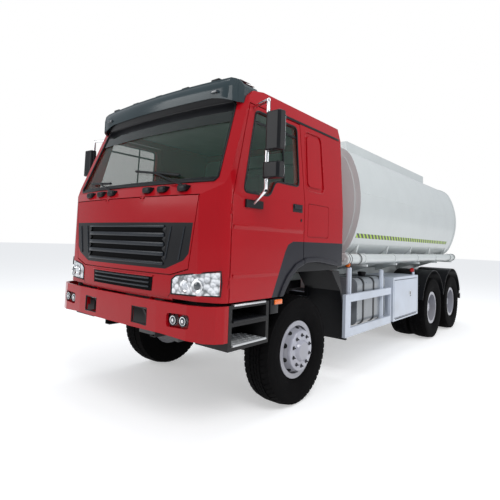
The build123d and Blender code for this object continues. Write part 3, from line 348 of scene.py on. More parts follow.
def add_modifier(piece, kind, **settings):
    """Adds one modifier and applies it."""
    choose(piece)
    made = piece.modifiers.new(kind.lower(), kind)
    for key, value in settings.items():
        setattr(made, key, value)
    bpy.ops.object.modifier_apply(modifier=made.name)


def pick_faces(piece, wanted):
    """Goes into edit mode with only the wanted faces selected."""
    choose(piece)
    bpy.ops.object.mode_set(mode="EDIT")
    bpy.ops.mesh.select_mode(type="FACE")
    bpy.ops.mesh.select_all(action="DESELECT")
    bpy.ops.object.mode_set(mode="OBJECT")
    for face in piece.data.polygons:
        face.select = wanted(face)
    bpy.ops.object.mode_set(mode="EDIT")


def block(name, low, high, material, bevel=0.004, segments=2):
    """A block between two corners, with its edges rounded."""
    deselect()
    middle = [(a + b) / 2 for a, b in zip(low, high)]
    bpy.ops.mesh.primitive_cube_add(size=1, location=middle)
    piece = bpy.context.object
    piece.name = name
    piece.scale = [abs(b - a) for a, b in zip(low, high)]
    settle(piece, material, 0)
    if bevel:
        add_modifier(piece, "BEVEL", width=bevel, segments=segments, limit_method="NONE")
    return settle(piece, material)


def panel(name, outline, depth, material, bevel=0.003, segments=2):
    """A flat plate: an outline of points in space, thickened by depth along its normal."""
    deselect()
    bpy.ops.mesh.primitive_circle_add(vertices=len(outline), radius=1, fill_type="NGON")
    piece = bpy.context.object
    piece.name = name
    corners = [Vector(corner) for corner in outline]
    for vertex, corner in zip(piece.data.vertices, corners):
        vertex.co = corner
    facing = sum((a.cross(b) for a, b in zip(corners, corners[1:] + corners[:1])), Vector()).normalized()
    bpy.ops.object.mode_set(mode="EDIT")
    bpy.ops.mesh.select_all(action="SELECT")
    bpy.ops.mesh.extrude_region_move(TRANSFORM_OT_translate={"value": facing * depth})
    bpy.ops.mesh.select_all(action="SELECT")
    bpy.ops.mesh.normals_make_consistent(inside=False)
    bpy.ops.object.mode_set(mode="OBJECT")
    piece.location = (0, 0, 0)
    if bevel:
        add_modifier(piece, "BEVEL", width=bevel, segments=segments, limit_method="ANGLE")
    return settle(piece, material)


def turned(name, rings, centre, direction, material, steps=48, smooth=35):
    """A turned piece: a circle, extruded and resized from ring to ring along a direction."""
    deselect()
    direction, centre = Vector(direction).normalized(), Vector(centre)
    rings = [(distance, max(radius, TIP)) for distance, radius in rings]
    first, radius = rings[0]
    bpy.ops.mesh.primitive_circle_add(vertices=steps, radius=radius, location=centre + direction * first,
                                      rotation=direction.to_track_quat("Z", "Y").to_euler())
    piece = bpy.context.object
    piece.name = name
    settle(piece, material, 0)
    bpy.ops.object.mode_set(mode="EDIT")
    bpy.ops.mesh.select_all(action="SELECT")
    bpy.ops.mesh.edge_face_add()
    bpy.ops.mesh.select_all(action="SELECT")
    for (before, old), (distance, radius) in zip(rings, rings[1:]):
        bpy.ops.mesh.extrude_region_move(TRANSFORM_OT_translate={"value": direction * (distance - before)})
        bpy.ops.transform.resize(value=[radius / old] * 3, center_override=centre + direction * distance)
    bpy.ops.mesh.select_all(action="SELECT")
    bpy.ops.mesh.normals_make_consistent(inside=False)
    bpy.ops.object.mode_set(mode="OBJECT")
    return settle(piece, material, smooth)


def bar(name, points, radius, material, smooth=True, sides=4):
    """A round bar along points, with its corners eased."""
    deselect()
    bpy.ops.curve.primitive_bezier_curve_add()
    piece = bpy.context.object
    piece.name = name
    piece.location = (0, 0, 0)
    curve = piece.data
    curve.splines.clear()
    line = curve.splines.new("BEZIER" if smooth else "POLY")
    knots = line.bezier_points if smooth else line.points
    knots.add(len(points) - 1)
    for knot, place in zip(knots, points):
        knot.co = place if smooth else (*place, 1)
        if smooth:
            knot.handle_left_type = knot.handle_right_type = "AUTO"
    curve.bevel_depth = radius
    curve.bevel_resolution = sides
    curve.use_fill_caps = True
    bpy.ops.object.convert(target="MESH")
    return settle(bpy.context.object, material, 60)


def closed_bar(name, loop, radius, material):
    """A bar along points, back to the first."""
    return bar(name, loop + loop[:1], radius, material, False)


def joined(name, pieces):
    """Several pieces made one."""
    deselect()
    for piece in pieces:
        piece.select_set(True)
    bpy.context.view_layer.objects.active = pieces[0]
    if len(pieces) > 1:
        bpy.ops.object.join()
    pieces[0].name = name
    return pieces[0]


def copied(piece, move):
    """A copy of a piece with its own mesh, moved."""
    other = piece.copy()
    other.data = piece.data.copy()
    other.data.transform(move)
    bpy.context.collection.objects.link(other)
    return other


def around(name, piece, centre, count, start=0.0):
    """A piece repeated around a line along X through centre."""
    shift = Matrix.Translation(centre)
    ring = []
    for i in range(count):
        turn = Matrix.Rotation(math.radians(start) + math.tau * i / count, 4, "X")
        ring.append(copied(piece, shift @ turn @ shift.inverted()))
    bpy.data.objects.remove(piece)
    return joined(name, ring)


def both_sides(piece, body, other_body=None):
    """The piece on the left, and its mirror image on the right, under its name with the side's."""
    name = piece.name
    other = copied(piece, Matrix.Scale(-1, 4, LEFT))
    other.data.flip_normals()
    piece.name, other.name = name + "_left", name + "_right"
    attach(piece, body)
    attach(other, other_body or body)


# Wheels

def tyre(name, centre, body):
    """A tyre with a stepped sidewall and blocks of tread, open at its bore."""
    x, y, z = centre
    half = [(0.1072, 0.256), (0.1085, 0.300), (0.128, 0.318), (0.140, 0.338), (0.1425, 0.346), (0.1485, 0.380),
            (0.1555, 0.420), (0.157, 0.452), (0.1545, 0.470), (0.1555, 0.475), (0.152, 0.505), (0.148, 0.530),
            (0.140, 0.544), (0.118, 0.551)]
    rings = [(-reach, radius) for reach, radius in half] + half[::-1]
    carcass = turned(name, rings, centre, LEFT, RUBBER, 72, 30)
    pick_faces(carcass, lambda face: len(face.vertices) > 8)  # the caps at both ends
    bpy.ops.mesh.delete(type="ONLY_FACE")
    bpy.ops.mesh.select_mode(type="EDGE")
    bpy.ops.mesh.select_all(action="DESELECT")
    bpy.ops.mesh.select_non_manifold()
    bpy.ops.mesh.bridge_edge_loops()
    bpy.ops.mesh.select_mode(type="VERT")
    bpy.ops.mesh.select_all(action="SELECT")
    bpy.ops.mesh.normals_make_consistent(inside=False)
    bpy.ops.object.mode_set(mode="OBJECT")
    lugs = []
    for side in (-1, 1):
        low, high = (x + 0.068 * side, y - 0.024, z + 0.53), (x + 0.147 * side, y + 0.024, z + 0.5622)
        lug = block("lug", low, high, RUBBER, 0)
        for vertex in lug.data.vertices:
            outside = abs(vertex.co.x - x) > 0.1
            if outside and vertex.co.z > z + 0.55:
                vertex.co.z -= 0.017
            vertex.co.y += 0.016 * side * (1 if outside else -1)
        lugs.append(lug)
    for across, slant in ((-0.035, 0.014), (0.0, -0.014), (0.035, 0.014)):
        low, high = (x + across - 0.0135, y - 0.029, z + 0.54), (x + across + 0.0135, y + 0.029, z + 0.5622)
        lug = block("lug", low, high, RUBBER, 0)
        for vertex in lug.data.vertices:
            vertex.co.y += slant * (1 if vertex.co.x > x + across else -1) + (0.02 if across == 0 else 0)
        lugs.append(lug)
    for lug in lugs:
        for vertex in lug.data.vertices:
            reach = math.hypot(vertex.co.y - y, vertex.co.z - z)
            if reach > TREAD_REACH:
                vertex.co.y = y + (vertex.co.y - y) * TREAD_REACH / reach
                vertex.co.z = z + (vertex.co.z - z) * TREAD_REACH / reach
    tread = around("tread", joined("tread", lugs), centre, 54)
    whole = joined(name, [carcass, tread])
    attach(whole, body)
    return whole


def nuts(name, centre, side, face, ring, count, size, material, body, start=9.0):
    """Wheel nuts with their studs, around a hub."""
    x, y, z = centre
    rings = [(0, size * 1.25), (0.004, size * 1.25), (0.0041, size), (0.024, size), (0.027, size * 0.8),
             (0.0271, size * 0.55), (0.040, size * 0.5), (0.041, 0)]
    nut = turned("nut", rings, (x + side * face, y, z + ring), (side, 0, 0), material, 6, 25)
    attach(around(name, nut, centre, count, start), body)


def hand_holes(name, centre, side, face, ring, count, size, slope, body):
    """Holes in a wheel's dish, as shallow cups whose black floors paint the shade seen in them."""
    spot = Vector(centre) + Vector((side * face, 0, ring))
    rings = [(0, size), (0.0015, size * 0.97), (0.0016, size * 0.86), (-0.001, size * 0.80), (-0.0012, 0)]
    cup = turned("cup", rings, spot, (side * math.cos(slope), 0, math.sin(slope)), RIM, 20, 25)
    # The black floor is painted shade
    cup.data.materials.append(BLACK)
    for polygon in cup.data.polygons:
        middle = sum((cup.data.vertices[i].co for i in polygon.vertices), Vector()) / len(polygon.vertices)
        if (middle - spot).length < size * 0.84:
            polygon.material_index = 1
    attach(around(name, cup, centre, count), body)


dish = [(0.055, 0.2440), (0.084, 0.2435), (0.092, 0.240), (0.143, 0.2155), (0.152, 0.2130)]
trim = [(0.150, 0.2135), (0.166, 0.2115), (0.177, 0.205), (0.181, 0.195), (0.182, 0.112), (0.186, 0.108),
        (0.205, 0.100), (0.2145, 0.088), (0.2149, 0.072), (0.2135, 0.068), (0.2134, 0)]
for wheel in wheels:
    row, side_name = wheel.split("_")
    side = 1 if side_name == "left" else -1
    body = f"{wheel}_wheel"
    y = at(AXLE_Y[row])
    if row == "front":
        hub = (side * FRONT_HUB_X, y, HUB_Z)
        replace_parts(tyre(f"tread_tyre_{wheel}", hub, body), f"tyre_{wheel}")
        for name, rings, finish in (("rim_dish", dish, RIM), ("hub_trim", trim, HUB)):
            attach(turned(f"{name}_{wheel}", rings, hub, (side, 0, 0), finish, 72), body)
        hand_holes(f"nut_wells_{wheel}", hub, side, 0.1822, 0.1580, 10, 0.0235, 0.0, body)
        nuts(f"wheel_nuts_{wheel}", hub, side, 0.170, 0.1580, 10, 0.0130, DARK_STEEL, body, 0.0)
        hand_holes(f"hand_holes_{wheel}", hub, side, 0.1175, 0.2282, 10, 0.0300, math.radians(64), body)
    else:
        hub = (side * REAR_HUB_X, y, HUB_Z)
        pair = [tyre(f"{name}_tyre_{wheel}", (side * x, y, HUB_Z), body) for name, x in TWIN_X.items()]
        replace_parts(joined(f"tread_tyres_{wheel}", pair), f"tyre_{wheel}")
        nuts(f"wheel_nuts_{wheel}", hub, side, 0.014, 0.1500, 10, 0.0165, ALUMINIUM, body)
        hand_holes(f"hand_holes_{wheel}", hub, side, 0.050, 0.1985, 10, 0.019, math.radians(-22), body)
        nuts(f"hub_cover_bolts_{wheel}", hub, side, 0.150, 0.0960, 8, 0.007, ALUMINIUM, body)


# The cab's outside faces

def bow(x, back):
    """How far back the bowed front is at x, where it is as far back as given at the middle."""
    return FRONT_BOW - math.sqrt((FRONT_BOW - back) ** 2 - x * x)


def front_y(x, z):
    """How far behind the bumper's face the cab's front skin lies."""
    if z < 2.06:
        side_view = 0.060 - 0.010 * (z - 0.965) / 1.095
    elif z < 2.17:
        side_view = 0.050 + 0.080 * (z - 2.06) / 0.11
    else:
        side_view = 0.130 + 0.283 * (z - 2.17) / 0.76
    return max(bow(x, side_view), -0.039 + 0.4844 * (abs(x) - 0.7))


def on_front(x, z, proud=0.0):
    """A place on the cab's front, or proud of it."""
    return point(x, front_y(x, z) - proud, z)


def side_x(z):
    """How far out the cab's side lies, which leans in above the waist."""
    return HALF - max(0.0, z - 2.1) * 0.055 / 0.865


def on_side(y, z, proud=0.0):
    """A place on the cab's left side, or proud of it."""
    return point(side_x(z) + proud, y, z)


def ribbon(name, rows, thickness, material, bevel=0.0, offset=1.0):
    """A curved plate through rows of points, thickened outwards."""
    deselect()
    across, along = len(rows), len(rows[0])
    bpy.ops.mesh.primitive_grid_add(x_subdivisions=along - 1, y_subdivisions=across - 1, size=1)
    piece = bpy.context.object
    piece.name = name
    for vertex, place in zip(piece.data.vertices, [place for row in rows for place in row]):
        vertex.co = place
    piece.location = (0, 0, 0)
    add_modifier(piece, "SOLIDIFY", thickness=thickness, offset=offset)
    if bevel:
        add_modifier(piece, "BEVEL", width=bevel, segments=2, limit_method="ANGLE")
    return settle(piece, material, 40)


def spread(first, last, count):
    """Even steps from first to last."""
    return [first + (last - first) * i / (count - 1) for i in range(count)]


def front_plate(name, edges, thickness, material, proud=0.0, count=9, bevel=0.0):
    """A plate on the cab's front between rows of (x from, x to, z)."""
    rows = [[on_front(x, z, proud) for x in spread(x_from, x_to, count)] for x_from, x_to, z in edges]
    return ribbon(name, rows, thickness, material, bevel)


# Windscreen: its rubber, dark bands, a tint across its top that paints the visor's shadow, wipers and their
# bases
corners = [(-1.09, 2.192), (1.09, 2.192), (1.122, 2.225), (1.055, 2.94),
           (1.02, 2.978), (-1.02, 2.978), (-1.055, 2.94), (-1.122, 2.225)]
loop = []
for (x0, z0), (x1, z1) in zip(corners, corners[1:] + corners[:1]):
    loop += [on_front(x, z, 0.001) for x, z in zip(spread(x0, x1, 9)[:-1], spread(z0, z1, 9)[:-1])]
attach(closed_bar("windscreen_rubber", loop, 0.011, BLACK), "cab")
for name, low, high, thickness, finish, proud in (
    ("screen_black_edge", (-1.115, 1.115, 2.196), (-1.110, 1.110, 2.228), 0.002, BLACK, -0.006),
    ("screen_top_edge", (-1.075, 1.075, 2.880), (-1.060, 1.060, 2.985), 0.002, BLACK, -0.004),
    ("visor_shadow_band", (-1.066, 1.066, 2.765), (-1.056, 1.056, 2.879), 0.001, VISOR_SHADOW_TINT, -0.003),
):
    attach(front_plate(name, [low, high], thickness, finish, proud, 15), "cab")
for index, x in enumerate((-0.75, -0.50, -0.28, 0.33, 0.54, 0.80)):
    low, high = on_front(x - 0.056, 2.100, 0.026), on_front(x + 0.056, 2.160, -0.02)
    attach(block(f"wiper_base_{index}", low, high, BLACK, 0.018, 3), "cab")
wiper_post = [(-0.01, 0.018), (0.016, 0.018), (0.020, 0.012), (0.026, 0.012), (0.028, 0)]
for index, (pivot, tip, tail_end) in enumerate([((0.80, 2.150), (-0.016, 2.356), (0.675, 2.263)),
                                                ((-0.30, 2.150), (-0.903, 2.284), (-0.429, 2.254))]):
    middle = [(a + b) / 2 for a, b in zip(tip, tail_end)]
    elbow = [(a * 2 + b) / 3 for a, b in zip(pivot, middle)]
    sweep = zip(spread(tip[0], tail_end[0], 7), spread(tip[1], tail_end[1], 7))
    post = turned("post", wiper_post, on_front(*pivot), (0, -1, 0.25), BLACK, 16)
    arm = bar("arm", [on_front(*pivot, 0.024), on_front(*elbow, 0.034), on_front(*middle, 0.026)], 0.010, BLACK)
    blade = bar("blade", [on_front(x, z, 0.012) for x, z in sweep], 0.012, BLACK)
    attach(joined(f"wiper_{index}", [post, arm, blade]), "cab")


# Sun visor: a black strip under it that paints its shadow, its skin and lamps, and the roof's marker lamps

def visor_line(x, z, back):
    """A place on the visor's inner wall, bowed as the cab's front is."""
    return point(x, bow(x, back), z)


def visor_place(x, z, back):
    """A place on the visor's front, no further forward than its cut-back ends."""
    cut = 0.397 + 1.1 * (abs(x) - 1.05) + max(0.0, back - 0.346)
    low = 3.016 - max(0.0, abs(x) - 0.87) * 0.30
    high = 3.196 - max(0.0, abs(x) - 1.02) * 0.36
    return point(x, max(bow(x, back), cut), min(max(z, low), high))


# Black from the screen's top back under the visor: painted shadow
strip = [[on_front(x * 1.055, 2.974, 0.004) for x in spread(-1, 1, 17)]]
strip += [[visor_line(x * 1.06, z, back) for x in spread(-1, 1, 17)]
          for z, back in ((3.010, 0.385), (3.055, 0.372))]
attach(ribbon("visor_shadow_strip", strip, 0.002, BLACK, 0.0, -1.0), "cab")
visor_profile = [(2.90, 0.350), (3.045, 0.343), (3.085, 0.341), (3.115, 0.345), (3.145, 0.354),
                 (3.170, 0.369), (3.187, 0.392), (3.195, 0.430), (3.198, 0.520)]
skin = [[visor_place(x, z, back) for x in spread(-1.105, 1.105, 25)] for z, back in visor_profile]
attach(ribbon("visor_skin", skin, 0.002, SLATE, 0.0, 0.0), "cab")
for side in (-1, 1):
    low, high = point(side * 0.835, 0.362, 3.050), point(side * 0.915, 0.40, 3.078)
    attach(block(f"visor_lamp_{side}", low, high, DARK_LENS, 0.006, 3), "cab")
for index, x in enumerate((-0.83, -0.42, 0.0, 0.42, 0.83)):
    low, high = point(x - 0.055, 0.40 + 0.03 * x * x, 3.186), point(x + 0.055, 0.47 + 0.03 * x * x, 3.214)
    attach(block(f"roof_marker_{index}", low, high, BLACK, 0.012, 3), "cab")

# The band of bodywork on the bumper that fills the gap under the cab, and stays when the cab tilts
band_profile = [(0.033, 1.150), (0.007, 1.150), (0.005, 1.153),
                (0.005, 1.160), (0.007, 1.1625), (0.033, 1.1625)]
band = [[point(x, front_y(x, 1.16) + back, z) for x in spread(-0.755, 0.755, 15)] for back, z in band_profile]
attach(ribbon("bumper_gap_band", band, 0.003, RED), "chassis")


# Headlamps: the two beams, and the edge of the cover

def lamp_bowl(x, z, radius, lens, side):
    """A bright bowl with a lens in its middle."""
    out = Vector((0.20 * side, -1, 0)).normalized()
    centre = on_front(side * x, z, -0.002)
    bowl = [(0, 1), (0.006, 1), (0.008, 0.93), (0.004, 0.80), (0.001, 0.60), (0.0008, 0.45)]
    dome = [(0, 0.60), (0.006, 0.56), (0.010, 0.40), (0.012, 0.2), (0.0125, 0)]
    return [turned("part", [(reach, radius * share) for reach, share in rings], centre, out, finish, 32)
            for rings, finish in ((bowl, CHROME), (dome, lens))]


def cut_glass():
    """A lamp's silver inside, its facets coloured lighter and darker: painted glints and shade."""
    made = Finish("lamp_silver", (0.5, 0.5, 0.5), 0.08, 0.55, Coat_Weight=0.8)
    facets = made.node("TexVoronoi", {"Vector": made.place(), "Scale": 24.0})
    # Light and dark cells: painted glints and shade
    glints_and_shade = made.mix(made.between(facets, 0.46, 0.80), (0.80, 0.82, 0.85), (0.18, 0.19, 0.20))
    made.set("Base Color", glints_and_shade)
    made.bump(facets, 0.6, 0.006)
    return made.material


LAMP_SILVER = cut_glass()
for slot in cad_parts["headlamps"].material_slots:
    slot.material = LAMP_SILVER
lamp_outline = [(0.742, 1.205), (0.742, 1.330), (0.792, 1.366), (0.95, 1.388), (1.10, 1.410),
                (1.215, 1.427), (1.225, 1.33), (1.218, 1.222), (1.0, 1.213)]
for side, name in SIDES:
    beams = lamp_bowl(1.03, 1.295, 0.058, DARK_LENS, side) + lamp_bowl(0.895, 1.285, 0.050, PALE_LENS, side)
    edge = closed_bar("edge", [on_front(side * x, z, 0.002) for x, z in lamp_outline], 0.006, BLACK)
    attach(joined(f"headlamp_parts_{name}", beams + [edge]), "cab")

# Lower front panel: the intake with a dark plate of painted shadow behind its blades, and the seams beside it
# Near black and dull: painted shadow inside the intake and behind the grille's slots
SHADOW_BLACK = Finish("grille_shadow", (0.0015, 0.0015, 0.002), 0.8, Specular_IOR_Level=0.1).material
intake = [(-0.49, 0.49, 1.205), (-0.50, 0.50, 1.34)]
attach(front_plate("intake_shadow_plate", intake, 0.003, SHADOW_BLACK, 0.0, 13, 0.001), "cab")
blades = []
for z in (1.232, 1.270, 1.308):
    edges = [(-0.455, 0.455, z), (-0.462, 0.462, z + 0.016)]
    blades.append(front_plate("blade", edges, 0.011, SLAT_BLACK, 0.003, 13, 0.003))
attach(joined("intake_blades", blades), "cab")
lip = [(-0.50, 0.50, 1.332), (-0.51, 0.51, 1.346)]
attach(front_plate("intake_top_lip", lip, 0.010, RED, 0.001, 13, 0.003), "cab")
for side in (-1, 1):
    seam = [on_front(side * x, z, -0.001) for x, z in ((0.70, 1.17), (0.74, 1.22), (0.735, 1.33), (0.79, 1.37))]
    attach(bar(f"lower_panel_seam_{side}", seam, 0.003, BLACK, False), "cab")

# Grille: a sheet of painted shadow behind the slots, the slats between them and the ribs beside them
shadow_rows = [[on_front(x, z, -0.013) for x in spread(-0.652, 0.652, 15)] for z in (1.465, 1.795)]
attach(ribbon("grille_shadow_sheet", shadow_rows, 0.002, SHADOW_BLACK), "front_lid")
slats = []
for low, high in ((1.445, 1.470), (1.524, 1.562), (1.609, 1.647), (1.694, 1.732), (1.779, 1.800)):
    edges = [(-0.625, 0.625, low), (-0.632, 0.632, (low + high) / 2), (-0.625, 0.625, high)]
    slats.append(front_plate("slat", edges, 0.011, SLAT_BLACK, 0.0, 15, 0.004))
for row in (1.475, 1.560, 1.645, 1.730):
    for side in (-1, 1):
        notch = [(0.632, 0), (0.600, 0.0275), (0.618, 0.055), (0.648, 0.055), (0.648, 0)]
        outline = [on_front(side * x, row + up, -0.010) for x, up in notch]
        slats.append(panel("notch", outline, 0.012 * -side, BLACK, 0.002))
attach(joined("grille_slats", slats), "front_lid")
for side in (-1, 1):
    for inner in (0.70, 0.86):
        ends = [on_front(side * (inner - 0.05), 1.50, 0.002), on_front(side * (inner + 0.01), 1.79, 0.002)]
        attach(bar(f"grille_rib_{side}_{inner}", ends, 0.007, SLAT_BLACK, False), "front_lid")

# Bumper: fog lamps, and the edges of the tow holes
fog_lamp = (
    ([(0, 0.0475), (0.006, 0.0475), (0.009, 0.043), (0.004, 0.036)], BLACK, 32),
    ([(0.003, 0.0365), (0.0065, 0.0365), (0.0055, 0.030), (0.0035, 0.022)], CHROME, 32),
    ([(0.003, 0.033), (0.006, 0.031), (0.0095, 0.016), (0.010, 0)], DARK_LENS, 24),
    ([(0.0096, 0.012), (0.0115, 0.009), (0.012, 0)], CHROME, 16),
)
tow_hole = [(0.302, 0.915), (0.302, 1.055), (0.310, 1.059), (0.510, 1.059),
            (0.518, 1.055), (0.518, 0.915), (0.510, 0.911), (0.310, 0.911)]
for side, name in SIDES:
    lamps = [turned("part", rings, point(side * x, 0.046, z), AHEAD, finish, steps)
             for x, z in ((0.838, 0.998), (0.960, 1.004)) for rings, finish, steps in fog_lamp]
    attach(joined(f"fog_lamps_{name}", lamps), "chassis")
    edge = [point(side * x, 0.012, z) for x, z in tow_hole]
    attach(closed_bar(f"tow_hole_edge_{name}", edge, 0.008, BLACK), "chassis")


# The cab's sides

def eased(points, radius, steps=4):
    """An outline of pairs with its corners rounded."""
    made = []
    for before, here, after in zip(points[-1:] + points[:-1], points, points[1:] + points[:1]):
        here = Vector(here)
        towards, away = Vector(before) - here, Vector(after) - here
        first = here + towards.normalized() * min(radius, towards.length / 2)
        last = here + away.normalized() * min(radius, away.length / 2)
        for i in range(steps + 1):
            t = i / steps
            made.append(tuple(first * (1 - t) ** 2 + here * (2 * t * (1 - t)) + last * t ** 2))
    return made


def side_loop(name, outline, radius, material, proud=0.0):
    """A closed bar along an outline of (y, z) on the cab's left side."""
    points = []
    for first, last in zip(outline, outline[1:] + outline[:1]):
        steps = max(1, round((Vector(last) - Vector(first)).length / 0.15))
        points += [tuple(Vector(first).lerp(Vector(last), i / steps)) for i in range(steps)]
    return closed_bar(name, [on_side(y, z, proud) for y, z in points], radius, material)


def side_strip(name, y_from, y_to, z_from, z_to, proud, material, bevel=0.003):
    """A strip standing proud of the cab's left side."""
    rows = [[on_side(y, z, -0.004) for y in spread(y_from, y_to, 9)] for z in (z_from, z_to)]
    return ribbon(name, rows, 0.004 + proud, material, bevel)


doors = ("left_door", "right_door")
window = [(0.425, 2.115), (0.800, 2.115), (0.900, 2.270), (1.310, 2.270), (1.295, 2.895), (0.612, 2.895)]
both_sides(side_loop("window_rubber", eased(window, 0.055), 0.0105, BLACK, -0.002), *doors)
both_sides(side_strip("window_bar", 0.60, 1.295, 2.772, 2.796, -0.006, BLACK, 0.002), *doors)
divider = [on_side(1.045, 2.265, -0.004), on_side(1.035, 2.895, -0.004)]
both_sides(bar("window_divider", divider, 0.010, BLACK, False), *doors)
crease = ((-0.030, -0.002), (-0.004, 0.006), (0.003, 0.007), (0.012, -0.002))
for name, y_from, y_to, z in (("door_crease", 0.31, 1.395, 1.812), ("door_ledge", 0.32, 0.97, 1.392)):
    rows = [[on_side(y, z + up, out) for y in spread(y_from, y_to, 9)] for up, out in crease]
    both_sides(ribbon(name, rows, 0.0015, RED), *doors)
handle = [side_strip("plate", 1.195, 1.372, 2.000, 2.082, 0.004, BLACK),
          side_strip("flap", 1.205, 1.330, 2.036, 2.074, 0.016, TRIM_BLACK, 0.005)]
both_sides(joined("door_handle", handle), *doors)
door_lock = [(0, 0.014), (0.004, 0.014), (0.005, 0.010), (0.0055, 0)]
both_sides(turned("door_lock", door_lock, on_side(1.355, 1.921), LEFT, BLACK, 20), *doors)
both_sides(side_strip("gutter_line", 1.00, 2.235, 2.950, 2.976, 0.006, BLACK), "cab")
middle = Vector((1.64, 2.58))
pressing = [(1.458, 2.262), (1.835, 2.262), (1.800, 2.895), (1.458, 2.895)]
grown = [tuple(middle + (Vector(corner) - middle) * 1.035) for corner in pressing]
both_sides(side_loop("panel_ridge", eased(grown, 0.075), 0.008, RED, -0.003), "cab")

# Mirror arms in bright tube, and the glass behind each housing
for name, places in {
    "mirror_arm_top": [(1.160, 0.592, 2.916), (1.412, 0.5045, 2.916),
                       (1.425, 0.500, 2.903), (1.425, 0.500, 2.795)],
    "mirror_arm_middle": [(1.425, 0.500, 2.468), (1.425, 0.500, 2.356)],
    "mirror_arm_low": [(1.425, 0.500, 2.228), (1.425, 0.500, 2.140),
                       (1.4125, 0.504, 2.1177), (1.240, 0.558, 2.017)],
}.items():
    both_sides(bar(name, [point(*place) for place in places], 0.0165, CHROME, False, 5), *doors)
arm_cap = [(0, 0.0165), (0.020, 0.0165), (0.026, 0.012), (0.028, 0)]
both_sides(turned("mirror_arm_cap", arm_cap, point(1.425, 0.5, 2.903), UP, CHROME, 20), *doors)
for name, low, high in (("mirror_glass_main", 2.482, 2.780), ("mirror_glass_wide", 2.238, 2.346)):
    outline = eased([(1.440, low), (1.584, low), (1.584, high), (1.440, high)], 0.02)
    glass = panel(name, [point(x, 0.5402, z) for x, z in outline], 0.002, CHROME, 0.0005)
    both_sides(glass, *doors)

# Steps with raised grips, the arch's foot with its lamp, and the aerial
# Aluminium for the treads, and a painted highlight along the top edge
STEP_METAL_AND_HIGHLIGHT = Finish("step_aluminium_and_highlight", (0.60, 0.61, 0.62), 0.24, 0.45).material
for level, high, finish in (("low", 0.800, STEP_METAL_AND_HIGHLIGHT), ("top", 1.000, BLACK)):
    parts = [block("tread", point(0.93, 0.346, high), point(1.247, 0.804, high + 0.010), finish, 0.003),
             bar("nose", [point(1.246, y, high + 0.004) for y in (0.346, 0.804)], 0.011, finish, False)]
    for row in range(5):
        for column in range(11):
            grip = block("grip", (-0.013, -0.0035, high + 0.009), (0.013, 0.0035, high + 0.0135), finish, 0)
            turn = Matrix.Rotation(math.radians(45 if (row + column) % 2 else -45), 4, "Z")
            place = point(0.975 + 0.056 * row, 0.375 + 0.04 * column, 0)
            grip.data.transform(Matrix.Translation(place) @ turn)
            parts.append(grip)
    both_sides(joined(f"step_tread_{level}", parts), "chassis")
# A bright strip along the step's top edge: a painted highlight
edge = block("step_top_highlight", point(1.205, 0.360, 1.128), point(1.246, 0.800, 1.146), STEP_METAL_AND_HIGHLIGHT, 0.006)
both_sides(edge, "chassis")
foot = block("arch_foot", point(1.175, 0.872, 1.010), point(1.243, 1.000, 1.148), BLACK, 0.010, 3)
both_sides(foot, "chassis")
side_lamp = [block("base", point(1.235, 0.905, 1.090), point(1.252, 1.045, 1.150), BLACK, 0.006, 3),
             block("lens", point(1.245, 0.915, 1.097), point(1.264, 1.035, 1.143), ORANGE, 0.008, 3)]
both_sides(joined("side_lamp", side_lamp), "chassis")
whip = [point(1.025, 2.15, 3.09), point(1.025, 2.18, 3.13), point(1.03, 2.24, 3.145)]
aerial = [block("foot", point(1.00, 2.130, 3.070), point(1.05, 2.190, 3.100), BLACK, 0.008, 3),
          bar("whip", whip, 0.007, BLACK)]
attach(joined("roof_aerial", aerial), "cab")

# Black liners inside the wheel arches: the roof over the tyre, and the wall behind the trim
arch_roof = [(1.035, 1.150), (1.070, 1.215), (1.140, 1.310), (1.250, 1.385), (1.500, 1.392), (1.900, 1.392),
             (2.280, 1.392)]
rows = [[point(x, y, z) for y, z in arch_roof] for x in (0.46, 0.80, 1.184)]
both_sides(ribbon("arch_liner", rows, 0.003, BLACK), "cab")
arch_line = [(1.050, 1.165), (1.100, 1.235), (1.180, 1.330), (1.300, 1.425), (1.474, 1.483), (1.700, 1.487),
             (1.900, 1.466), (2.140, 1.434), (2.280, 1.434)]
arch_low = [1.150, 1.210, 1.300] + [1.385] * 6
rows = [[point(1.188, y, low) for (y, z), low in zip(arch_line, arch_low)],
        [point(1.188, y, z + 0.012) for y, z in arch_line]]
both_sides(ribbon("arch_liner_wall", rows, 0.002, BLACK), "cab")

# Inside the cab: linings, then the padded seats and bunk
outline = eased([(-1.14, 1.92), (1.14, 1.92), (1.10, 2.90), (-1.10, 2.90)], 0.10)
back_panel = panel("back", [point(x, 2.219, z) for x, z in outline], 0.008, LINING, 0.003)
outline = eased([(-0.72, 2.08), (0.72, 2.08), (0.68, 2.72), (-0.68, 2.72)], 0.14, 6)
back_frame = closed_bar("frame", [point(x, 2.208, z) for x, z in outline], 0.014, TRIM_GREY)
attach(joined("sleeper_panel", [back_panel, back_frame]), "cab")
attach(block("roof_lining", point(-1.02, 0.72, 2.990), point(1.02, 2.20, 3.005), LINING, 0.006), "cab")
card = block("door_card", point(1.168, 0.460, 1.520), point(1.182, 1.340, 2.090), TRIM_GREY, 0.006)
both_sides(card, *doors)


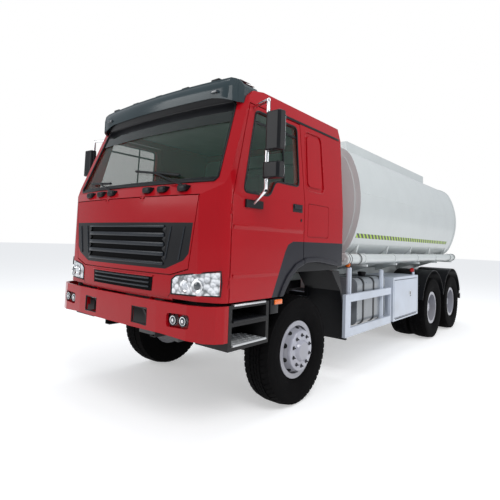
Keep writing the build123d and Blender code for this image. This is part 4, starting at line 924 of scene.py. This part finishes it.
def padded_form(name, shape, voxel, cap, grooves):
    """A cushion: its plain form blown up a little as sewn cloth, then its channels drawn in."""
    add_modifier(shape, "REMESH", mode="VOXEL", voxel_size=voxel)
    shape.name = name
    start = [vertex.co.copy() for vertex in shape.data.vertices]
    cloth = shape.modifiers.new("cloth", "CLOTH")
    cloth.settings.quality = 4
    cloth.settings.use_pressure = True
    cloth.settings.uniform_pressure_force = 4
    cloth.settings.effector_weights.gravity = 0
    cloth.point_cache.frame_start, cloth.point_cache.frame_end = 1, CLOTH_FRAMES
    for frame_number in range(1, CLOTH_FRAMES + 1):
        bpy.context.scene.frame_set(frame_number)
    choose(shape)
    bpy.ops.object.modifier_apply(modifier="cloth")
    bpy.context.scene.frame_set(1)
    for vertex, old in zip(shape.data.vertices, start):
        moved = vertex.co - old
        if moved.length > cap:
            vertex.co = old + moved.normalized() * cap
    for groove in grooves:
        for vertex in shape.data.vertices:
            away, pull = groove(vertex.co)
            vertex.co -= pull * math.exp(-(away / GROOVE_WIDTH) ** 2)
    add_modifier(shape, "SUBSURF", levels=1, render_levels=1)
    settle(shape, CLOTH, 60)
    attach(shape, "cab")
    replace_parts(shape, "seats")


def cushion_shape(outline, x_from, x_to, ease):
    """A closed form with an outline of (y, z) between two widths."""
    return panel("cushion", [point(x_from, y, z) for y, z in outline], x_to - x_from, CLOTH, ease, 4)


def across_at(x):
    """A groove at x, which sinks the top of what lies flat and the front of what stands."""
    return lambda spot: (spot.x - x, Vector((0, 0, 0.010)) if spot.z < 1.9 else Vector((0, -0.010, 0)))


seat_low = [(0.864, 1.748), (1.316, 1.748), (1.316, 1.838), (0.864, 1.858)]
seat_back = [(1.308, 1.862), (1.386, 1.862), (1.484, 2.484), (1.412, 2.484)]
bunk = [(1.672, 1.742), (2.208, 1.742), (2.208, 1.888), (1.672, 1.888)]
for side, name in SIDES:
    middle = side * SEAT_X
    shape = cushion_shape(seat_low, middle - 0.236, middle + 0.236, 0.035)
    grooves = [across_at(middle - 0.13), across_at(middle + 0.13)]
    padded_form(f"seat_cushion_{name}", shape, 0.010, 0.014, grooves)
    shape = cushion_shape(seat_back, middle - 0.226, middle + 0.226, 0.030)
    grooves = [across_at(middle - 0.12), across_at(middle + 0.12)]
    padded_form(f"seat_back_{name}", shape, 0.010, 0.014, grooves)
    low, high = point(middle - 0.150, 0.950, 1.455), point(middle + 0.150, 1.280, 1.735)
    base = block("base", low, high, TRIM_GREY, 0.03, 3)
    low, high = point(middle - 0.225, 0.900, 1.690), point(middle + 0.225, 1.310, 1.742)
    base = joined(f"seat_base_{name}", [base, block("shield", low, high, TRIM_GREY, 0.02, 3)])
    low, high = point(side * 0.435, 1.665, 1.455), point(side * 1.115, 2.218, 1.728)
    locker = block(f"bunk_locker_{name}", low, high, TRIM_GREY, 0.012, 3)
    for piece in (base, locker):
        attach(piece, "cab")
        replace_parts(piece, "seats")
shape = cushion_shape(bunk, -1.106, 1.106, 0.040)
padded_form("bunk_mattress", shape, 0.018, 0.012, [across_at(x) for x in (-0.74, -0.37, 0.0, 0.37, 0.74)])


# Tank: its tape and weld bead

def on_tank(y, z, proud=0.0):
    """A place on the tank's left side."""
    reach, high = TANK_SIDE_RADIUS + proud, z - TANK_SIDE_Z
    out = Vector((math.sqrt(max(0.0, TANK_SIDE_RADIUS ** 2 - high ** 2)), 0, high)).normalized()
    return point(TANK_SIDE_X + out.x * reach, y, TANK_SIDE_Z + out.z * reach)


def hazard_finish():
    """Reflecting tape with slanted stripes."""
    made = Finish("hazard_tape", (0.5, 0.55, 0.05), 0.3)
    y, z = made.axes(made.place())[1:]
    stripe = ((y + z * 1.6) * 8.5).fraction() > 0.45
    made.set("Base Color", made.mix(stripe, (0.40, 0.62, 0.02), (0.02, 0.02, 0.02)))
    return made.material


rows = [[on_tank(y, z, 0.001) for y in spread(2.875, 7.40, 13)] for z in (1.790, 1.820, 1.850)]
both_sides(ribbon("hazard_tape", rows, 0.0012, hazard_finish(), 0.0, -1.0), "chassis")
bead = ((2.393, 0.0), (2.397, 0.003), (2.403, 0.003), (2.407, 0.0))
rows = [[on_tank(y, z, out) for y in spread(2.88, 7.40, 9)] for z, out in bead]
both_sides(ribbon("tank_weld_bead", rows, 0.001, WHITE, 0.0, -1.0), "chassis")

# Hose tubes: clamps, front caps, catches and pulls
clamp = [(0, 0.0745), (0, 0.0775), (0.012, 0.0775), (0.012, 0.0745)]
tube_cap = [(0, 0.070), (0.004, 0.066), (0.004, 0.050), (0.001, 0.048), (0.001, 0)]
pull = ((-0.03, 0.012), (-0.02, -0.01), (0.02, -0.01), (0.03, 0.012))
for side, name in SIDES:
    x = side * TUBE_X
    parts = [turned("clamp", clamp, point(x, y, TUBE_Z), (0, 1, 0), BLACK, 40)
             for y in (2.545, 2.605, 2.870, 2.895, 7.395, 7.690, 7.745)]
    parts.append(turned("cap", tube_cap, point(x, 2.510, TUBE_Z), AHEAD, WHITE, 40))
    low, high = point(x - 0.012, 2.535, 1.575), point(x + 0.012, 2.630, 1.592)
    parts.append(block("catch", low, high, ALUMINIUM, 0.003))
    parts.append(bar("pull", [point(x + across, 2.500, TUBE_Z + up) for across, up in pull], 0.004, ALUMINIUM))
    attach(joined(f"hose_tube_fittings_{name}", parts), "chassis")

# Rear lamps and reflectors
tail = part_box("rear_underrun")[1][1]
parts = [block("housing", (0.926, tail - 0.152, 0.686), (1.214, tail - 0.069, 0.794), BLACK, 0.008, 3)]
for x_from, x_to, lens in ((0.936, 1.020, PALE_LENS), (1.026, 1.116, RED_LENS), (1.122, 1.204, ORANGE)):
    parts.append(block("lens", (x_from, tail - 0.073, 0.698), (x_to, tail - 0.060, 0.782), lens, 0.006, 3))
both_sides(joined("rear_lamp", parts), "chassis")
for index, x in enumerate((-0.95, -0.55, 0.55, 0.95)):
    low, high = (x - 0.055, tail - 0.003, 0.600), (x + 0.055, tail - 0.0005, 0.650)
    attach(block(f"rear_reflector_{index}", low, high, RED_LENS, 0.001), "chassis")

# Manhole lids: a dome, a vent, a grip and six clamps
dome = [(0, 0.215), (0.006, 0.212), (0.012, 0.150), (0.016, 0.060), (0.0165, 0)]
vent = [(0, 0.040), (0.006, 0.040), (0.008, 0.030), (0.0085, 0.028), (0.009, 0)]
lid_clamp = [(0, 0.016), (0.010, 0.016), (0.012, 0.009), (0.022, 0.009), (0.0225, 0)]
lid_grip = ((-0.060, 0.002), (-0.055, 0.017), (0.055, 0.017), (0.060, 0.002))
for number, y in ((1, 4.4), (2, 6.4)):
    centre = point(0, y, 3.276)
    parts = [turned("dome", dome, centre, UP, WHITE, 48),
             bar("grip", [centre + Vector((x, -0.150, z)) for x, z in lid_grip], 0.006, ALUMINIUM, False),
             turned("vent", vent, centre + Vector((0, 0.02, 0.0145)), UP, ALUMINIUM, 24)]
    for step in range(6):
        angle = math.tau * (step + 0.5) / 6
        spot = centre + Vector((math.cos(angle) * 0.225, math.sin(angle) * 0.225, -0.004))
        parts.append(turned("clamp", lid_clamp, spot, UP, ALUMINIUM, 6, 25))
    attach(joined(f"lid_fittings_{number}", parts), f"manhole_lid_{number}")

# Guards: round posts with their lamps, and the cabinet's lock and slot
bezel = [(-0.014, 0.030), (-0.012, 0.042), (0.010, 0.042), (0.013, 0.036), (0.0131, 0)]
round_lens = [(0.012, 0.036), (0.020, 0.032), (0.025, 0.018), (0.026, 0)]
for side, name in SIDES:
    posts = []
    for y, top in ((2.620, 1.405), (3.670, 1.345)):
        rings = [(0, 0.030), (top - 0.575, 0.030), (top - 0.560, 0.024), (top - 0.555, 0)]
        posts.append(turned("post", rings, point(side * POST_X, y, 0.560), UP, BLUE_WHITE, 24))
    if side > 0:
        rings = [(0, 0.022), (0.055, 0.022), (0.060, 0)]
        posts.append(turned("post", rings, point(1.190, 5.060, 1.215), UP, BLUE_WHITE, 20))
    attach(joined(f"guard_posts_{name}", posts), "chassis")
    lamps = []
    for y, z, lens in ((2.600, 1.440, ORANGE), (5.055, 1.300 if side > 0 else 1.110, RED_LENS)):
        centre = point(side * POST_X, y, z)
        lamps.append(turned("bezel", bezel, centre, AHEAD, BLACK, 28))
        lamps.append(turned("lens", round_lens, centre, AHEAD, lens, 28))
    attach(joined(f"guard_lamps_{name}", lamps), "chassis")
lock_ring = [(0, 0.040), (0.004, 0.040), (0.006, 0.036), (0.003, 0.032), (0.003, 0)]
lock_key = [(0, 0.008), (0.009, 0.008), (0.010, 0.004), (0.0101, 0)]
lock = [turned("ring", lock_ring, point(HALF, 4.740, 0.940), LEFT, ALUMINIUM, 28),
        block("grip", point(HALF + 0.002, 4.733, 0.915), point(HALF + 0.010, 4.747, 0.965), BLACK, 0.003),
        turned("key", lock_key, point(HALF, 4.755, 0.895), LEFT, BLACK, 12)]
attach(joined("cabinet_lock", lock), "cabinet_door")
low, high = point(HALF - 0.002, 4.080, 0.578), point(HALF + 0.002, 5.060, 0.592)
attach(block("cabinet_slot", low, high, BLACK, 0.001), "chassis")

# Fuel tank: three straps and the filler
outline = eased([(0.529, 0.624), (1.171, 0.624), (1.171, 1.246), (0.529, 1.246)], 0.091, 6)
straps = []
for y in (3.080, 3.420, 3.720):
    rows = [[point(x, y + dy, z) for x, z in outline + outline[:1]] for dy in (-0.022, 0.022)]
    straps.append(ribbon("strap", rows, 0.008, BLACK, 0.0, 0.0))
filler = [(0, 0.055), (0.030, 0.055), (0.034, 0.062), (0.055, 0.062), (0.062, 0.050), (0.0621, 0)]
straps.append(turned("filler", filler, point(0.93, 3.55, 1.243), UP, BLACK, 28))
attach(joined("fuel_tank_straps", straps), "chassis")


# Floor, lamps and background

def lit_white(tree, surface, level):
    """Adds white, at the given level, to what the camera, gloss and glass see of a surface."""
    path = tree.nodes.new("ShaderNodeLightPath")
    seen = path.outputs["Is Camera Ray"]
    for ray in ("Is Glossy Ray", "Is Transmission Ray"):
        total = tree.nodes.new("ShaderNodeMath")
        total.use_clamp = True
        tree.links.new(seen, total.inputs[0])
        tree.links.new(path.outputs[ray], total.inputs[1])
        seen = total.outputs[0]
    glow, both, mix = (tree.nodes.new("ShaderNode" + kind) for kind in ("Emission", "AddShader", "MixShader"))
    glow.inputs["Strength"].default_value = level
    tree.links.new(surface, both.inputs[0])
    tree.links.new(glow.outputs[0], both.inputs[1])
    tree.links.new(seen, mix.inputs[0])
    tree.links.new(surface, mix.inputs[1])
    tree.links.new(both.outputs[0], mix.inputs[2])
    return mix.outputs[0]


def studio():
    """A white floor that keeps the shadow, a white background and soft light from all round."""
    deselect()
    bpy.ops.mesh.primitive_plane_add(size=160, location=(0, 0, 0))
    floor = bpy.context.object
    floor.name = "floor"
    made = Finish("floor_white", (0.80, 0.80, 0.80), 0.9, Specular_IOR_Level=0.0)
    output = made.tree.nodes["Material Output"]
    made.tree.links.new(lit_white(made.tree, made.shader.outputs[0], 0.42), output.inputs["Surface"])
    floor.data.materials.append(made.material)
    world = bpy.data.worlds.new("studio")
    world.use_nodes = True
    bpy.context.scene.world = world
    tree = world.node_tree
    plain, seen = tree.nodes["Background"], tree.nodes.new("ShaderNodeBackground")
    plain.inputs["Color"].default_value = (0.90, 0.94, 1.0, 1)
    plain.inputs["Strength"].default_value = 0.55
    path, mix = tree.nodes.new("ShaderNodeLightPath"), tree.nodes.new("ShaderNodeMixShader")
    seen.inputs["Color"].default_value = (1, 1, 1, 1)
    seen.inputs["Strength"].default_value = 1.0
    tree.links.new(path.outputs["Is Camera Ray"], mix.inputs[0])
    tree.links.new(plain.outputs[0], mix.inputs[1])
    tree.links.new(seen.outputs[0], mix.inputs[2])
    tree.links.new(mix.outputs[0], tree.nodes["World Output"].inputs["Surface"])
    for name, place, aim, size, watts in (
        ("key", (8, -8, 10), (0, -1, 1), 5, 560),
        ("fill", (11, 3, 5), (0, 1, 1), 6, 260),
        ("top", (0, 0, 12), (0, 0, 0), 8, 420),
        ("front", (-5, -11, 5), (0, -3, 1), 5, 230),
    ):
        light = bpy.data.lights.new(name, "AREA")
        light.size, light.energy = size, watts
        lamp = bpy.data.objects.new(name, light)
        lamp.location = place
        lamp.rotation_euler = (Vector(aim) - Vector(place)).to_track_quat("-Z", "Y").to_euler()
        bpy.context.collection.objects.link(lamp)
    bpy.context.scene.view_settings.view_transform = "Standard"


studio()
